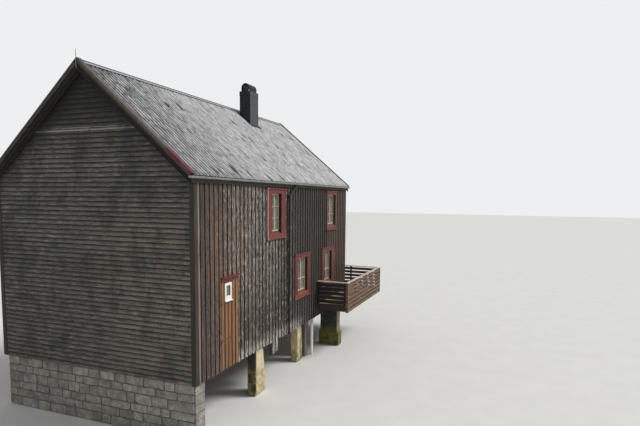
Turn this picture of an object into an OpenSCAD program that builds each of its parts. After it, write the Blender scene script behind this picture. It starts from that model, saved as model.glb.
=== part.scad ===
/* [Walls] */
// Width over the frames of the long walls
body_w = 6920; // [6200:20:7800]
// Length over the frames of the gables
body_l = 11990; // [11200:10:12800]
// Thickness of a wall frame without its outer boards
wall_t = 160; // [120:5:200]
// Depth of the boards that cover the frames
clad_t = 44; // [36:1:52]
// Height of the long walls above the boards' lower end
wall_h = 5330; // [5200:10:5700]
// Thickness of a corner board
corner_t = 52; // [46:1:60]
// Width of a corner board
corner_w = 150; // [100:5:180]

/* [Floors] */
// Height of the lower floor above the boards' lower end
floor_z = 550; // [520:5:600]
// Thickness of the lower floor's boards
floor_t = 40; // [28:1:50]
// Height of a floor joist
joist_h = 220; // [150:5:230]
// Width of a floor joist
joist_w = 73; // [48:1:98]
// Distance from one floor joist to the next
joist_pitch = 610; // [500:10:800]
// Rise from the lower floor to the upper one
storey_h = 2370; // [2300:5:2500]
// Thickness of the upper floor
upper_t = 60; // [30:5:200]
// Width of a sill beam
sill_w = 200; // [150:10:250]

/* [Foundation] */
// Height of the boards' lower end above the level that the piers stand on
base_h = 1550; // [1200:10:2000]
// Thickness of the landward foundation wall
found_t = 450; // [300:10:600]
// Setback of the foundation from the wall frames
found_in = 60; // [20:5:120]
// How far the near piers and the crossbeam stay back from the wall frames
pier_in = 40; // [20:5:100]
// Size of a near pier across the house
pier_x = 340; // [300:10:500]
// Width of a near pier at its top
near_pier_w = 560; // [400:10:700]
// How far a near pier spreads at its foot on the sea side
near_pier_flare = 225; // [0:5:260]
// Distance from the landward gable to the near piers' middle
near_pier_y = 3570; // [3200:10:4000]
// Size of a middle pier across the house
mid_pier_x = 330; // [280:10:450]
// Width of a middle pier at its top
mid_pier_w = 440; // [350:10:500]
// How far a middle pier spreads on each side of its foot
mid_pier_flare = 35; // [0:5:60]
// How far a middle pier stays behind the near piers' outer faces
mid_pier_in = 130; // [100:5:180]
// Distance from the sea gable back to the middle piers' middle
mid_pier_back = 4800; // [4700:10:5000]
// Height of the crossbeam behind the middle piers
beam_h = 270; // [180:5:300]
// Width of that crossbeam and its posts
timber_w = 250; // [180:5:280]
// Distance from the sea gable back to the crossbeam's landward face
beam_back = 4260; // [4200:5:4350]
// How far those posts stay back from the crossbeam's end
post_in = 170; // [100:5:250]
// Width of a sea pier along the house
sea_pier_w = 370; // [300:10:600]
// Size of a sea pier across the house
sea_pier_x = 830; // [700:10:900]
// How far a sea pier stands out from the wall frame
sea_pier_out = 510; // [400:10:580]
// Distance from the sea gable back to the sea piers' middle
sea_pier_back = 2095; // [1900:10:2300]
// How far a sea pier's footing stands out on each side
footing_out = 50; // [20:5:80]
// Depth of the footing's top below the boards' lower end
footing_down = 950; // [850:10:1100]
// Diameter of the round post
post_d = 124; // [80:2:150]
// Distance from the sea gable back to the round post
post_back = 3830; // [3600:10:3900]

/* [Roof] */
// Pitch of the roof in degrees
pitch = 40.45; // [36:0.05:44]
// Thickness of the roof deck
deck_t = 125; // [90:5:160]
// How far the deck stands out at the eaves
eave_out = 70; // [50:5:110]
// How far the deck stands out at the gables
verge_out = 190; // [120:5:260]
// Distance from one wave of the sheets to the next
wave_pitch = 146; // [120:1:180]
// Height of a wave
wave_h = 50; // [30:1:60]
// Thickness of a sheet
sheet_t = 7; // [5:1:10]
// How far the sheets run out over the gutter
sheet_over = 5; // [0:1:45]
// Thickness of the fascia board
fascia_t = 25; // [18:1:32]
// Height of the fascia board
fascia_h = 160; // [120:5:180]
// Thickness of a bargeboard
barge_t = 28; // [20:1:34]
// Height of a bargeboard measured square to the slope
barge_h = 170; // [120:5:200]
// Thickness of the outer verge board
verge_t = 22; // [18:1:28]
// Height of the outer verge board below the sheets' crests
verge_h = 105; // [70:5:120]
// Width of the board that covers the sheets' edge
verge_cover = 110; // [80:5:140]
// Width of each leg of the ridge cap
ridge_leg = 190; // [140:5:240]
// Thickness of the ridge cap
ridge_t = 5; // [3:1:8]
// Diameter of the rod at the ridge end
spike_d = 18; // [12:1:24]
// Length of the rod at the ridge end
spike_l = 480; // [300:10:600]
// Length of the rod above the ridge
spike_up = 190; // [100:10:250]

/* [Gutters] */
// Outer radius of the half-round gutter
gutter_r = 55; // [45:1:62]
// Thickness of the gutter's wall
gutter_wall = 4; // [3:1:5]
// How far the gutter runs past the landward verge
gutter_past = 100; // [40:5:150]
// Radius of the downpipe
pipe_r = 38; // [30:1:42]
// Distance from the landward gable to the downpipe
pipe_y = 5510; // [5350:5:5700]
// Shift of the gutter's outlet from the downpipe
pipe_shift = 500; // [300:10:600]
// Drop of the slanting length of pipe
pipe_drop = 330; // [200:10:400]
// Distance that the pipe's clips are kept within
clip_span = 1600; // [1200:50:2000]
// Distance from the pipe's ends to the first clip
clip_end = 500; // [300:10:700]
// Height of a clip
clip_h = 30; // [20:1:40]

/* [Chimney] */
// Width of the chimney across the ridge
chimney_w = 475; // [400:5:550]
// Length of the chimney along the ridge
chimney_l = 650; // [500:5:800]
// Distance from the ridge line to the chimney's near side
chimney_x = 290; // [200:5:350]
// Distance from the landward gable to the chimney
chimney_y = 7760; // [7200:10:8200]
// Height of the chimney's top above the crests at the ridge
chimney_up = 680; // [550:5:800]
// Height of the collar under the top
collar_h = 180; // [120:5:250]
// How far the collar stands out
collar_out = 18; // [10:1:30]
// Side of the square flue
flue = 200; // [150:5:220]
// Depth of the flue's open part
flue_depth = 320; // [200:10:450]
// Width of the arched hood
hood_w = 370; // [320:5:400]
// Height of the hood's straight sides
hood_leg = 140; // [100:5:200]
// Thickness of the hood's sheet
hood_t = 5; // [4:1:8]

/* [Windows] */
// Clear width of a long wall's landward upper window
near_upper_w = 710; // [650:5:800]
// Width of that window's casing boards
near_casing_w = 320; // [200:5:340]
// Clear width of a long wall's seaward upper window
far_upper_w = 960; // [800:5:1000]
// Width of that window's casing boards
far_casing_w = 130; // [100:5:250]
// Clear width of an upper window in the sea gable
upper_win_w = 775; // [650:5:850]
// Clear height of an upper window
upper_win_h = 1265; // [1150:5:1350]
// Distance from the long wall's top down to an upper window's head
upper_win_down = 310; // [305:5:380]
// Clear width of a lower window
lower_win_w = 905; // [750:5:980]
// Clear height of a lower window
lower_win_h = 1265; // [1150:5:1300]
// Sill of a lower window above the lower floor
lower_win_sill = 805; // [750:5:850]
// Thickness of a window's lining
lining_t = 45; // [42:1:55]
// Width of the other windows' casing boards
casing_w = 250; // [180:5:260]
// Height of a window's head board
head_h = 135; // [100:5:145]
// Height of the board under a window's sill
apron_h = 215; // [180:5:230]
// How far the casing stands out past the boards
casing_proud = 31; // [15:1:38]
// How far the drip boards stand out past the casing
drip_out = 31; // [20:1:50]
// How far the drip boards run past the casing at each end
drip_end = 75; // [40:5:100]
// Thickness of a drip board
drip_t = 40; // [24:1:45]
// Fall of the sill from the sash to its front edge
sill_fall = 110; // [60:5:130]
// Distance from the frame's outer face in to the sash
sash_in = 32; // [20:1:50]
// Thickness of a sash
sash_t = 40; // [34:1:48]
// Width of a sash's outer rails
sash_rail = 52; // [40:1:60]
// Width of a sash's middle post
sash_post = 60; // [44:1:70]
// Thickness of the glass
glass_t = 4; // [3:1:6]
// Distance from the landward gable to the near upper window
near_upper_y = 4590; // [4300:5:4650]
// Distance from the sea gable back to the far upper window
far_upper_back = 1970; // [1700:10:2200]
// Distance from the sea gable back to the near lower window
near_lower_back = 5150; // [5000:10:5300]
// Distance from the sea gable back to the far lower window
far_lower_back = 2380; // [2100:10:2500]
// Distance from the middle of the sea gable to its lower windows
gable_lower_x = 1950; // [1850:10:2100]
// Distance from the middle of the sea gable to its upper windows
gable_upper_x = 1300; // [1100:10:1500]

/* [Doors] */
// Width of the side door's leaf
leaf_w = 920; // [800:10:1000]
// Distance from the landward gable to the side door
leaf_y = 1170; // [1100:10:1400]
// Height of the doorways' heads above the boards' lower end
door_head = 2520; // [2450:10:2600]
// Thickness of a doorway's lining
door_lining_t = 30; // [24:1:38]
// Thickness of the door leaf's boards
leaf_t = 39; // [30:1:39]
// Thickness of the ledges behind the leaf
ledge_t = 30; // [22:1:40]
// Height of a ledge
ledge_h = 120; // [90:5:150]
// Gap round the moving door
door_gap = 6; // [5:0.5:8]
// Gap between the ledges and the door's lining
ledge_gap = 10; // [8:1:14]
// Height of the board over the side door
over_door_h = 116; // [90:2:140]
// How far the drip board over the side door stands out
door_drip_out = 76; // [50:2:90]
// Width of the glass in the side door
door_glass_w = 210; // [160:5:260]
// Height of the glass in the side door
door_glass_h = 290; // [200:5:340]
// Distance from the leaf's hinged edge to the glass
door_glass_y = 235; // [200:5:280]
// Distance from the leaf's top down to the glass
door_glass_down = 105; // [90:5:140]
// Width of the frame round the door's glass
door_win_rail = 75; // [50:5:90]
// Thickness of the frame round the door's glass
door_win_t = 24; // [18:1:30]
// How far the small sill under the door's glass stands out
door_win_sill = 62; // [45:1:70]
// Diameter of a hinge pin
pin_d = 12; // [10:1:16]
// Play between a hinge pin and its eye
pin_play = 0.5; // [0.4:0.1:1]
// Length of a door strap
strap_l = 520; // [400:10:650]
// Height of a door strap
strap_h = 45; // [35:1:60]
// Thickness of a door strap
strap_t = 6; // [4:0.5:8]
// Height of the door handle above the lower floor
handle_z = 1000; // [900:10:1100]
// Length of the door handle
handle_l = 160; // [120:5:200]
// Diameter of the door handle's bar
handle_d = 14; // [10:1:18]
// Distance from the leaf's face to the handle
handle_out = 38; // [30:1:50]
// Distance from the leaf's edge to the handle
handle_in = 80; // [60:5:120]
// Width of the balcony door's leaf
sea_door_w = 860; // [760:10:940]

/* [Balcony] */
// How far the balcony stands out from the long wall
side_out = 1380; // [1100:10:1600]
// How far the balcony stands out from the sea gable
sea_out = 1540; // [1200:10:1700]
// Distance from the sea gable back to the balcony's near end
side_back = 3590; // [3450:10:3700]
// Thickness of the balcony's deck
deck_board_t = 40; // [28:1:48]
// Thickness of the rim board
rim_t = 45; // [36:1:60]
// Height of the rail's top above the deck
rail_h = 940; // [850:5:1100]
// Width of the top rail
rail_w = 125; // [100:5:150]
// Thickness of the top rail
rail_t = 32; // [24:1:40]
// How far the top rail stands out past the railing
rail_over = 20; // [10:1:30]
// Side of a railing post
post_w = 70; // [60:1:90]
// Thickness of a railing board
slat_t = 25; // [20:1:30]
// Height of a railing board
slat_h = 125; // [100:1:140]
// Gap between two railing boards
slat_gap = 47; // [30:1:60]
// Distance that railing posts are kept within
post_span = 1500; // [1200:50:2000]

/* [Hidden] */

// Gap between pieces that rest on each other with uneven faces
seat = 0.3;
// How far a cutting shape runs past what it cuts
past = 50;
half_w = body_w / 2;
inner_x = half_w - wall_t;
board_x = half_w + clad_t;
upper_z = floor_z + storey_h;
run = tan(pitch);
deck_v = deck_t / cos(pitch);
sheet_h = wave_h + sheet_t;
crest_n = deck_t + seat + sheet_h;
under_ridge = wall_h + half_w * run;
deck_x = half_w + eave_out;
fascia_x = deck_x + fascia_t;
sheet_end = (fascia_x + sheet_over - deck_t * sin(pitch)) / cos(pitch);
gutter_x = fascia_x + seat + gutter_r;
gutter_z = under(fascia_x + sheet_over) + deck_v - 8;
house_end = body_l + verge_out;
sill_h = floor_z - floor_t - joist_h;
pier_out = half_w - pier_in;
balcony_x = half_w + side_out;
balcony_end = body_l + sea_out;
balcony_start = body_l - side_back;
rim_x = balcony_x - slat_t;
rim_y = balcony_end - slat_t;
joist_z = floor_z - deck_board_t - joist_h;
walk_in = board_x + 26;
walk_y = body_l + corner_t + seat;
corner_leg = corner_w - corner_t;
ledger_t = 60;
hinge_x = board_x + pin_d + 2;
hinge_y = leaf_y - pin_d - 2;
leaf_low = 20;
leaf_high = door_head - door_gap;
glass_low = leaf_high - door_glass_down - door_glass_h;
glass_mid = leaf_y + door_glass_y + door_glass_w / 2;
door_win_foot = 130;
door_sill_t = 24;
hinge_low = floor_z + 300;
hinge_high = glass_low - door_win_foot - door_sill_t - strap_h - 20;
chimney_top = under_ridge + crest_n / cos(pitch) + chimney_up;
hood_in = 20;

// The origin is at the middle of the whole building's box, on the level that it stands on
x_low = -(gutter_x + gutter_r);
x_high = balcony_x + rail_over;
y_low = -(verge_out + barge_t + verge_t + gutter_past);
y_high = balcony_end + rail_over;
shift = [-(x_low + x_high) / 2, -(y_low + y_high) / 2, base_h];

// Each window: its wall, its place along that wall, its sill, its clear width and height, its casing
upper_sill_z = wall_h - upper_win_down - upper_win_h;
side_windows = [
    [near_upper_y, upper_sill_z, near_upper_w, upper_win_h, near_casing_w],
    [body_l - far_upper_back, upper_sill_z, far_upper_w, upper_win_h, far_casing_w],
    for (back = [near_lower_back, far_lower_back])
        [body_l - back, floor_z + lower_win_sill, lower_win_w, lower_win_h, casing_w]];
gable_windows = [
    for (side = [-1, 1]) [side * gable_upper_x, upper_sill_z, upper_win_w, upper_win_h, casing_w],
    for (side = [-1, 1]) [side * gable_lower_x, floor_z + lower_win_sill, lower_win_w, lower_win_h,
        casing_w]];
windows = [
    for (w = side_windows) concat(["right"], w),
    for (w = side_windows) concat(["left"], w),
    for (w = gable_windows) concat(["sea"], w)];

// Height of the roof deck's underside over a place across the house
function under(x) = wall_h + (half_w - abs(x)) * run;

// Middles of posts spread evenly from a to b with no more than span between them
function spread(a, b, span) = let (n = ceil((b - a) / span)) [for (i = [0:n]) a + (b - a) * i / n];

module box(low, high) {
    translate(low) cube(high - low);
}

// Extrudes an outline drawn across the house from one place along it to another
module along(y0, y1) {
    translate([0, y1, 0]) rotate([90, 0, 0]) linear_extrude(y1 - y0) children();
}

// Draws children in a frame that runs down the right slope, with +Z square to the deck
module on_slope() {
    translate([0, 0, under_ridge]) rotate([0, pitch, 0]) children();
}

// A bar down the whole right slope, from one place and height square to the deck to another
module slope_bar(y, n) {
    start = -2 * crest_n;
    on_slope() translate([start, 0, 0]) box([0, y[0], n[0]], [sheet_end - start, y[1], n[1]]);
}

module both_sides() {
    children();
    mirror([1, 0, 0]) children();
}

module both_gables() {
    children();
    translate([0, body_l, 0]) mirror([0, 1, 0]) children();
}

// Puts a piece drawn with +X outwards on the face of a wall frame
module on_wall(wall, at, z) {
    if (wall == "right") translate([half_w, at, z]) children();
    else if (wall == "left") mirror([1, 0, 0]) translate([half_w, at, z]) children();
    else translate([at, body_l, z]) rotate([0, 0, 90]) children();
}

module window_holes(wall) {
    for (w = windows) if (w[0] == wall)
        on_wall(wall, w[1], w[2])
            box([-wall_t - past, -w[3] / 2 - lining_t, -lining_t],
                [past, w[3] / 2 + lining_t, w[4] + lining_t]);
}

module gable_outline() {
    polygon([[-half_w, 0], [half_w, 0], [half_w, wall_h - seat], [0, under_ridge - seat],
        [-half_w, wall_h - seat]]);
}

module landward_gable() {
    color("#4b4640") along(0, wall_t) gable_outline();
}

module sea_gable() {
    color("#4b4640") difference() {
        along(body_l - wall_t, body_l) gable_outline();
        window_holes("sea");
        on_wall("sea", 0, 0) box([-wall_t - past, -sea_door_w / 2 - door_lining_t, floor_z],
            [past, sea_door_w / 2 + door_lining_t, door_head]);
    }
}

module long_wall(wall, from) {
    difference() {
        box([inner_x, from, 0], [half_w, body_l - wall_t, wall_h]);
        window_holes(wall);
    }
}

module left_wall() {
    color("#5c524a") mirror([1, 0, 0]) long_wall("right", wall_t);
}

module right_wall() {
    color("#5c524a") long_wall("right", leaf_y + leaf_w);
}

module right_wall_corner() {
    color("#5c524a") box([inner_x, wall_t, 0], [half_w, leaf_y, wall_h]);
}

module right_wall_at_door() {
    color("#5c524a") {
        box([inner_x, leaf_y, 0], [half_w, leaf_y + leaf_w, floor_z]);
        box([inner_x, leaf_y, door_head], [half_w, leaf_y + leaf_w, wall_h]);
    }
}

module corner_boards() {
    top = under(half_w + corner_t) - seat;
    color("#35312d") both_gables() both_sides() linear_extrude(top)
        polygon([[half_w, corner_leg], [half_w + corner_t, corner_leg], [half_w + corner_t, -corner_t],
            [half_w - corner_leg, -corner_t], [half_w - corner_leg, 0], [half_w, 0]]);
}

// Sill beams round the foot of the walls, and the floor joists on them between two header joists
module floor_frame() {
    first = wall_t + joist_w / 2;
    last = body_l - wall_t - joist_w / 2;
    in = inner_x - sill_w;
    low = sill_h + seat;
    top = floor_z - floor_t;
    color("#6b5f52") {
        both_sides() {
            box([in, wall_t, 0], [inner_x, body_l - wall_t, sill_h]);
            box([inner_x - joist_w, wall_t, low], [inner_x, body_l - wall_t, top]);
        }
        both_gables() box([-in + seat, wall_t, 0], [in - seat, wall_t + sill_w, sill_h]);
        for (y = spread(first, last, joist_pitch))
            box([-inner_x, y - joist_w / 2, low], [inner_x, y + joist_w / 2, top]);
    }
}

module lower_floor() {
    color("#8a7762") box([-inner_x, wall_t, floor_z - floor_t],
        [inner_x, body_l - wall_t, floor_z]);
}

module upper_floor() {
    color("#8a7762") box([-inner_x, wall_t, upper_z - upper_t],
        [inner_x, body_l - wall_t, upper_z]);
}

module landward_foundation() {
    color("#8d8a83") box([-half_w + found_in, found_in / 2, -base_h],
        [half_w - found_in, found_in / 2 + found_t, 0]);
}

// A pier whose landward and sea faces may spread towards its foot
module pier(y, size, w, near_flare, far_flare) {
    translate([pier_out, 0, 0]) rotate([90, 0, -90]) linear_extrude(size)
        polygon([[-y - w / 2 - far_flare, -base_h], [-y + w / 2 + near_flare, -base_h],
            [-y + w / 2, 0], [-y - w / 2, 0]]);
}

module near_piers() {
    color("#c2b092") both_sides() pier(near_pier_y, pier_x, near_pier_w, 0, near_pier_flare);
}

module middle_piers() {
    color("#b5b096") both_sides() translate([-mid_pier_in, 0, 0])
        pier(body_l - mid_pier_back, mid_pier_x, mid_pier_w, mid_pier_flare, mid_pier_flare);
}

// Timber posts under a crossbeam behind the middle piers, and one round post under the right wall
module middle_posts() {
    y = body_l - beam_back;
    out = pier_out - post_in;
    color("#8b8273") {
        box([-pier_out, y, -beam_h], [pier_out, y + timber_w, 0]);
        both_sides() box([out - timber_w, y, -base_h], [out, y + timber_w, -beam_h]);
    }
    color("#dcdcd6") translate([half_w - wall_t / 2, body_l - post_back, -base_h])
        cylinder(h = base_h, d = post_d, $fn = 48);
}

// The right sea pier rises past the wall to carry the balcony
module sea_piers() {
    y = body_l - sea_pier_back;
    low = y - sea_pier_w / 2;
    high = y + sea_pier_w / 2;
    out = half_w + sea_pier_out;
    in = out - sea_pier_x;
    color("#3a3c33") {
        along(low, high) polygon([[in, -base_h], [out, -base_h], [out, joist_z],
            [walk_in, joist_z], [walk_in, 0], [in, 0]]);
        box([in - footing_out, low - footing_out, -base_h],
            [out + footing_out, high + footing_out, -footing_down]);
        mirror([1, 0, 0]) {
            box([in, low, -base_h], [half_w, high, 0]);
            box([in - footing_out, low - footing_out, -base_h],
                [half_w + footing_out, high + footing_out, -footing_down]);
        }
    }
}

module roof_decks() {
    color("#5a5148") both_sides() along(-verge_out, house_end)
        polygon([[seat / 2, under(seat / 2)], [deck_x, under(deck_x)],
            [deck_x, under(deck_x) + deck_v], [seat / 2, under(seat / 2) + deck_v]]);
}

// Outline of a run of waves, seen from the eaves: the crests along the top, the same below
module wave_outline(length) {
    steps = 6;
    step = wave_pitch / steps;
    n = floor(length / step);
    ys = concat([for (i = [0:n]) i * step], [length]);
    top = [for (y = ys) [y, sheet_t + wave_h * (1 - cos(360 * y / wave_pitch)) / 2]];
    low = [for (i = [len(ys) - 1:-1:0]) top[i] - [0, sheet_t]];
    polygon(concat(top, low));
}

module roof_sheets() {
    on_slope() translate([0, -verge_out, deck_t + seat]) rotate([90, 0, 90])
        linear_extrude(sheet_end) wave_outline(house_end + verge_out);
}

module chimney_space(gap) {
    box([chimney_x - gap, chimney_y - gap, wall_h],
        [chimney_x + chimney_w + gap, chimney_y + chimney_l + gap, chimney_top + 1000]);
}

module right_roof_sheets() {
    color("#b0b0ac") difference() {
        roof_sheets();
        chimney_space(12);
    }
}

module left_roof_sheets() {
    color("#b0b0ac") mirror([1, 0, 0]) roof_sheets();
}

module ridge_cap() {
    low = under_ridge + (crest_n + seat) / cos(pitch);
    high = low + ridge_t / cos(pitch);
    x = ridge_leg * cos(pitch);
    out = x + ridge_t * sin(pitch);
    color("#3d4248") along(-verge_out + verge_cover, house_end - verge_cover)
        polygon([[0, low], [x, low - x * run], [out, high - out * run],
            [0, high], [-out, high - out * run], [-x, low - x * run]]);
}

module bargeboards() {
    top = deck_v - seat;
    low = deck_v - barge_h / cos(pitch);
    color("#6f6b66") both_gables() both_sides() along(-verge_out - barge_t, -verge_out)
        polygon([[seat / 2, under(0) + low], [fascia_x, under(fascia_x) + low],
            [fascia_x, under(fascia_x) + top], [seat / 2, under(0) + top]]);
}

// A board on the verge's face, and one on the sheets' edge that runs down to the sheets' end
module verge_boards() {
    face = -verge_out - barge_t - seat;
    top = crest_n + seat;
    color("#3f3a37") both_gables() both_sides() {
        intersection() {
            slope_bar([face - verge_t, face], [crest_n - verge_h, top + verge_t]);
            box([seat / 2, face - 2 * verge_t, 0], [fascia_x, face + verge_t, chimney_top]);
        }
        intersection() {
            slope_bar([face - verge_t, verge_cover - verge_out - seat], [top, top + verge_t]);
            box([seat / 2, face - 2 * verge_t, 0], [balcony_x, verge_cover, chimney_top]);
        }
    }
}

module fascia_boards() {
    top = under(fascia_x) + deck_v - 1;
    color("#4a433c") both_sides() box([deck_x, -verge_out, top - fascia_h],
        [fascia_x, house_end, top]);
}

module gutters() {
    y0 = y_low;
    color("#a4a6a2") both_sides() translate([gutter_x, 0, gutter_z]) {
        along(y0, house_end) difference() {
            circle(gutter_r, $fn = 48);
            circle(gutter_r - gutter_wall, $fn = 48);
            translate([-gutter_r - past, 0]) square([2 * gutter_r + 2 * past, gutter_r + past]);
        }
        for (y = [y0, house_end - gutter_wall]) along(y, y + gutter_wall) difference() {
            circle(gutter_r, $fn = 48);
            translate([-gutter_r - past, 0]) square([2 * gutter_r + 2 * past, gutter_r + past]);
        }
    }
}

// A round bar from one point to another with a collar at each end
module pipe_length(a, b, r) {
    v = b - a;
    l = norm(v);
    translate(a) rotate([0, acos(v[2] / l), atan2(v[1], v[0])]) cylinder(h = l, r = r, $fn = 48);
}

module downpipes() {
    collar = pipe_r + 5;
    wall_x = board_x + 26 + collar;
    outlet = [gutter_x, pipe_y + pipe_shift, gutter_z - gutter_r - seat];
    top = outlet - [0, 0, 70];
    elbow = [wall_x, pipe_y, top[2] - pipe_drop];
    foot = [wall_x, pipe_y, 15];
    color("#23211f") both_sides() difference() {
        union() {
            pipe_length(top, outlet, pipe_r);
            pipe_length(top, elbow, pipe_r);
            pipe_length(foot, elbow, pipe_r);
            translate(top) sphere(collar, $fn = 48);
            translate(elbow) sphere(collar, $fn = 48);
            for (z = spread(clip_end, elbow[2] - clip_end, clip_span)) {
                translate([wall_x, pipe_y, z]) cylinder(h = clip_h, r = collar, $fn = 48);
                box([half_w, pipe_y - clip_h / 2, z],
                    [wall_x - pipe_r / 2, pipe_y + clip_h / 2, z + clip_h]);
            }
        }
        translate(foot - [0, 0, past]) cylinder(h = past + 180, r = pipe_r - 4, $fn = 48);
    }
}

module chimney() {
    x0 = chimney_x;
    x1 = chimney_x + chimney_w;
    foot = deck_v + seat;
    color("#2c2f31") difference() {
        union() {
            along(chimney_y, chimney_y + chimney_l) polygon([[x0, under(x0) + foot],
                [x1, under(x1) + foot], [x1, chimney_top], [x0, chimney_top]]);
            box([x0 - collar_out, chimney_y - collar_out, chimney_top - collar_h],
                [x1 + collar_out, chimney_y + chimney_l + collar_out, chimney_top]);
        }
        translate([(x0 + x1 - flue) / 2, chimney_y + (chimney_l - flue) / 2, chimney_top - flue_depth])
            cube([flue, flue, flue_depth + past]);
    }
}

// An arch of bent sheet that stands on the chimney's top and is open at both ends
module chimney_hood() {
    r = hood_w / 2;
    color("#1f2224") translate([chimney_x + chimney_w / 2, 0, chimney_top])
        along(chimney_y + hood_in, chimney_y + chimney_l - hood_in) {
            for (side = [-1, 1]) translate([side * (r - hood_t / 2) - hood_t / 2, 0])
                square([hood_t, hood_leg]);
            translate([0, hood_leg]) difference() {
                circle(r, $fn = 64);
                circle(r - hood_t, $fn = 64);
                translate([-r - past, -r - past]) square([2 * r + 2 * past, r + past]);
            }
        }
}

module ridge_spike() {
    top = under_ridge + (crest_n + verge_t) / cos(pitch) + spike_up;
    color("#8f9094") translate([0, -verge_out - barge_t - verge_t - spike_d / 2 - seat, top - spike_l])
        cylinder(h = spike_l, d = spike_d, $fn = 32);
}

// A lining with casing boards, drip boards over and under them, and a sill that slopes outwards
module window_frame(w, h, casing) {
    front = clad_t + casing_proud;
    out = w / 2 + casing;
    far = front + drip_out + past;
    difference() {
        union() {
            box([-wall_t, -w / 2 - lining_t + seat, -lining_t + seat],
                [front, w / 2 + lining_t - seat, h + lining_t - seat]);
            box([0, -out, -apron_h], [front, out, h + head_h]);
            for (z = [h + head_h, -apron_h - drip_t])
                box([0, -out - drip_end, z], [front + drip_out, out + drip_end, z + drip_t]);
        }
        box([-wall_t - past, -w / 2, 0], [far, w / 2, h]);
        translate([0, w / 2, 0]) rotate([90, 0, 0]) linear_extrude(w)
            polygon([[-sash_in, 0], [far, -sill_fall * (far + sash_in) / (front + sash_in)], [far, h / 2],
                [-sash_in, h / 2]]);
    }
}

module window_frames() {
    color("#8f3f38") for (w = windows) on_wall(w[0], w[1], w[2])
        window_frame(w[3], w[4], w[5]);
}

module window_sash(w, h) {
    pane_w = (w - 2 * seat - 2 * sash_rail - sash_post) / 2;
    translate([-sash_in - sash_t, 0, 0]) difference() {
        box([0, -w / 2 + seat, seat], [sash_t, w / 2 - seat, h - seat]);
        for (side = [-1, 1]) translate([0, side * (sash_post + pane_w) / 2, 0])
            box([-past, -pane_w / 2, sash_rail], [sash_t + past, pane_w / 2, h - sash_rail]);
    }
}

module window_sashes() {
    color("#e2dac8") for (w = windows) on_wall(w[0], w[1], w[2]) window_sash(w[3], w[4]);
}

module window_panes() {
    color("#9fb0b4") for (w = windows) on_wall(w[0], w[1], w[2])
        box([-sash_in - sash_t - glass_t, -w[3] / 2 + seat, seat],
            [-sash_in - sash_t, w[3] / 2 - seat, w[4] - seat]);
}

// A lining that fits a doorway in a wall frame
module door_lining(w) {
    difference() {
        box([-wall_t, -w / 2 - door_lining_t + seat, floor_z + seat],
            [0, w / 2 + door_lining_t - seat, door_head - seat]);
        box([-wall_t - past, -w / 2, floor_z + door_lining_t], [past, w / 2, door_head - door_lining_t]);
    }
}

module door_frames() {
    front = clad_t + casing_proud;
    out = sea_door_w / 2 + door_lining_t + 90;
    color("#6a3530") {
        on_wall("right", leaf_y + leaf_w / 2, 0) door_lining(leaf_w - 2 * door_lining_t);
        on_wall("sea", 0, 0) {
            door_lining(sea_door_w);
            difference() {
                box([0, -out, floor_z + seat], [front, out, door_head + 90]);
                box([-past, -sea_door_w / 2, floor_z - past],
                    [front + past, sea_door_w / 2, door_head - door_lining_t]);
            }
            box([0, -out - 30, door_head + 90], [front + drip_out, out + 30, door_head + 90 + drip_t]);
        }
    }
}

// The board over the side door with the drip board on it
module door_hood() {
    over = 20;
    color("#a8504a") {
        box([half_w, leaf_y, door_head + seat], [board_x + 8, leaf_y + leaf_w, door_head + over_door_h]);
        box([half_w, leaf_y - over, door_head + over_door_h],
            [board_x + door_drip_out, leaf_y + leaf_w + over, door_head + over_door_h + drip_t]);
    }
}

module balcony_door() {
    back = -sash_in - leaf_t;
    gap = 3;
    w = sea_door_w / 2 - gap;
    low = floor_z + door_lining_t + seat;
    high = door_head - door_lining_t - gap;
    color("#7d5b43") on_wall("sea", 0, 0) {
        box([back, -w, low], [-sash_in, w, high]);
        for (z = [low + 200, (low + high) / 2, high - 200])
            box([-sash_in, -w + 40, z - ledge_h / 2], [-sash_in + 20, w - 40, z + ledge_h / 2]);
    }
}

module side_door() {
    back = board_x - leaf_t;
    edge = door_lining_t + ledge_gap;
    color("#96694a") difference() {
        union() {
            box([back, leaf_y + door_gap / 2, leaf_low],
                [board_x, leaf_y + leaf_w - door_gap / 2, leaf_high]);
            for (z = [hinge_low, (hinge_low + hinge_high) / 2, hinge_high])
                translate([0, 0, z + (strap_h - ledge_h) / 2])
                    box([back - ledge_t, leaf_y + edge, 0], [back, leaf_y + leaf_w - edge, ledge_h]);
        }
        box([back - past, glass_mid - door_glass_w / 2, glass_low],
            [board_x + past, glass_mid + door_glass_w / 2, glass_low + door_glass_h]);
    }
}

// A frame with a small sill, planted on the face of the leaf
module door_window() {
    out = door_glass_w / 2 + door_win_rail;
    color("#e6e2d6") translate([board_x, glass_mid, glass_low]) difference() {
        union() {
            box([0, -out, -door_win_foot], [door_win_t, out, door_glass_h + door_win_rail]);
            box([0, -out - 8, -door_win_foot - door_sill_t], [door_win_sill, out + 8, -door_win_foot]);
        }
        box([-past, -door_glass_w / 2, 0], [door_win_t + past, door_glass_w / 2, door_glass_h]);
    }
}

module door_pane() {
    color("#8d9a94") translate([board_x - leaf_t / 2, glass_mid, glass_low])
        box([-glass_t, -door_glass_w / 2 + seat, seat], [0, door_glass_w / 2 - seat, door_glass_h - seat]);
}

// Pins that stand on brackets, which reach in to the wall frame
module hinge_pins() {
    foot = 28;
    color("#2b2826") for (z = [hinge_low, hinge_high]) {
        translate([hinge_x, hinge_y, z - foot]) {
            cylinder(h = foot + strap_h + 8, d = pin_d, $fn = 32);
            cylinder(h = foot - pin_play, d = 2 * pin_d, $fn = 32);
        }
        box([half_w, hinge_y - pin_d / 2, z - foot], [hinge_x, hinge_y + pin_d / 2, z - pin_play]);
    }
}

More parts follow.
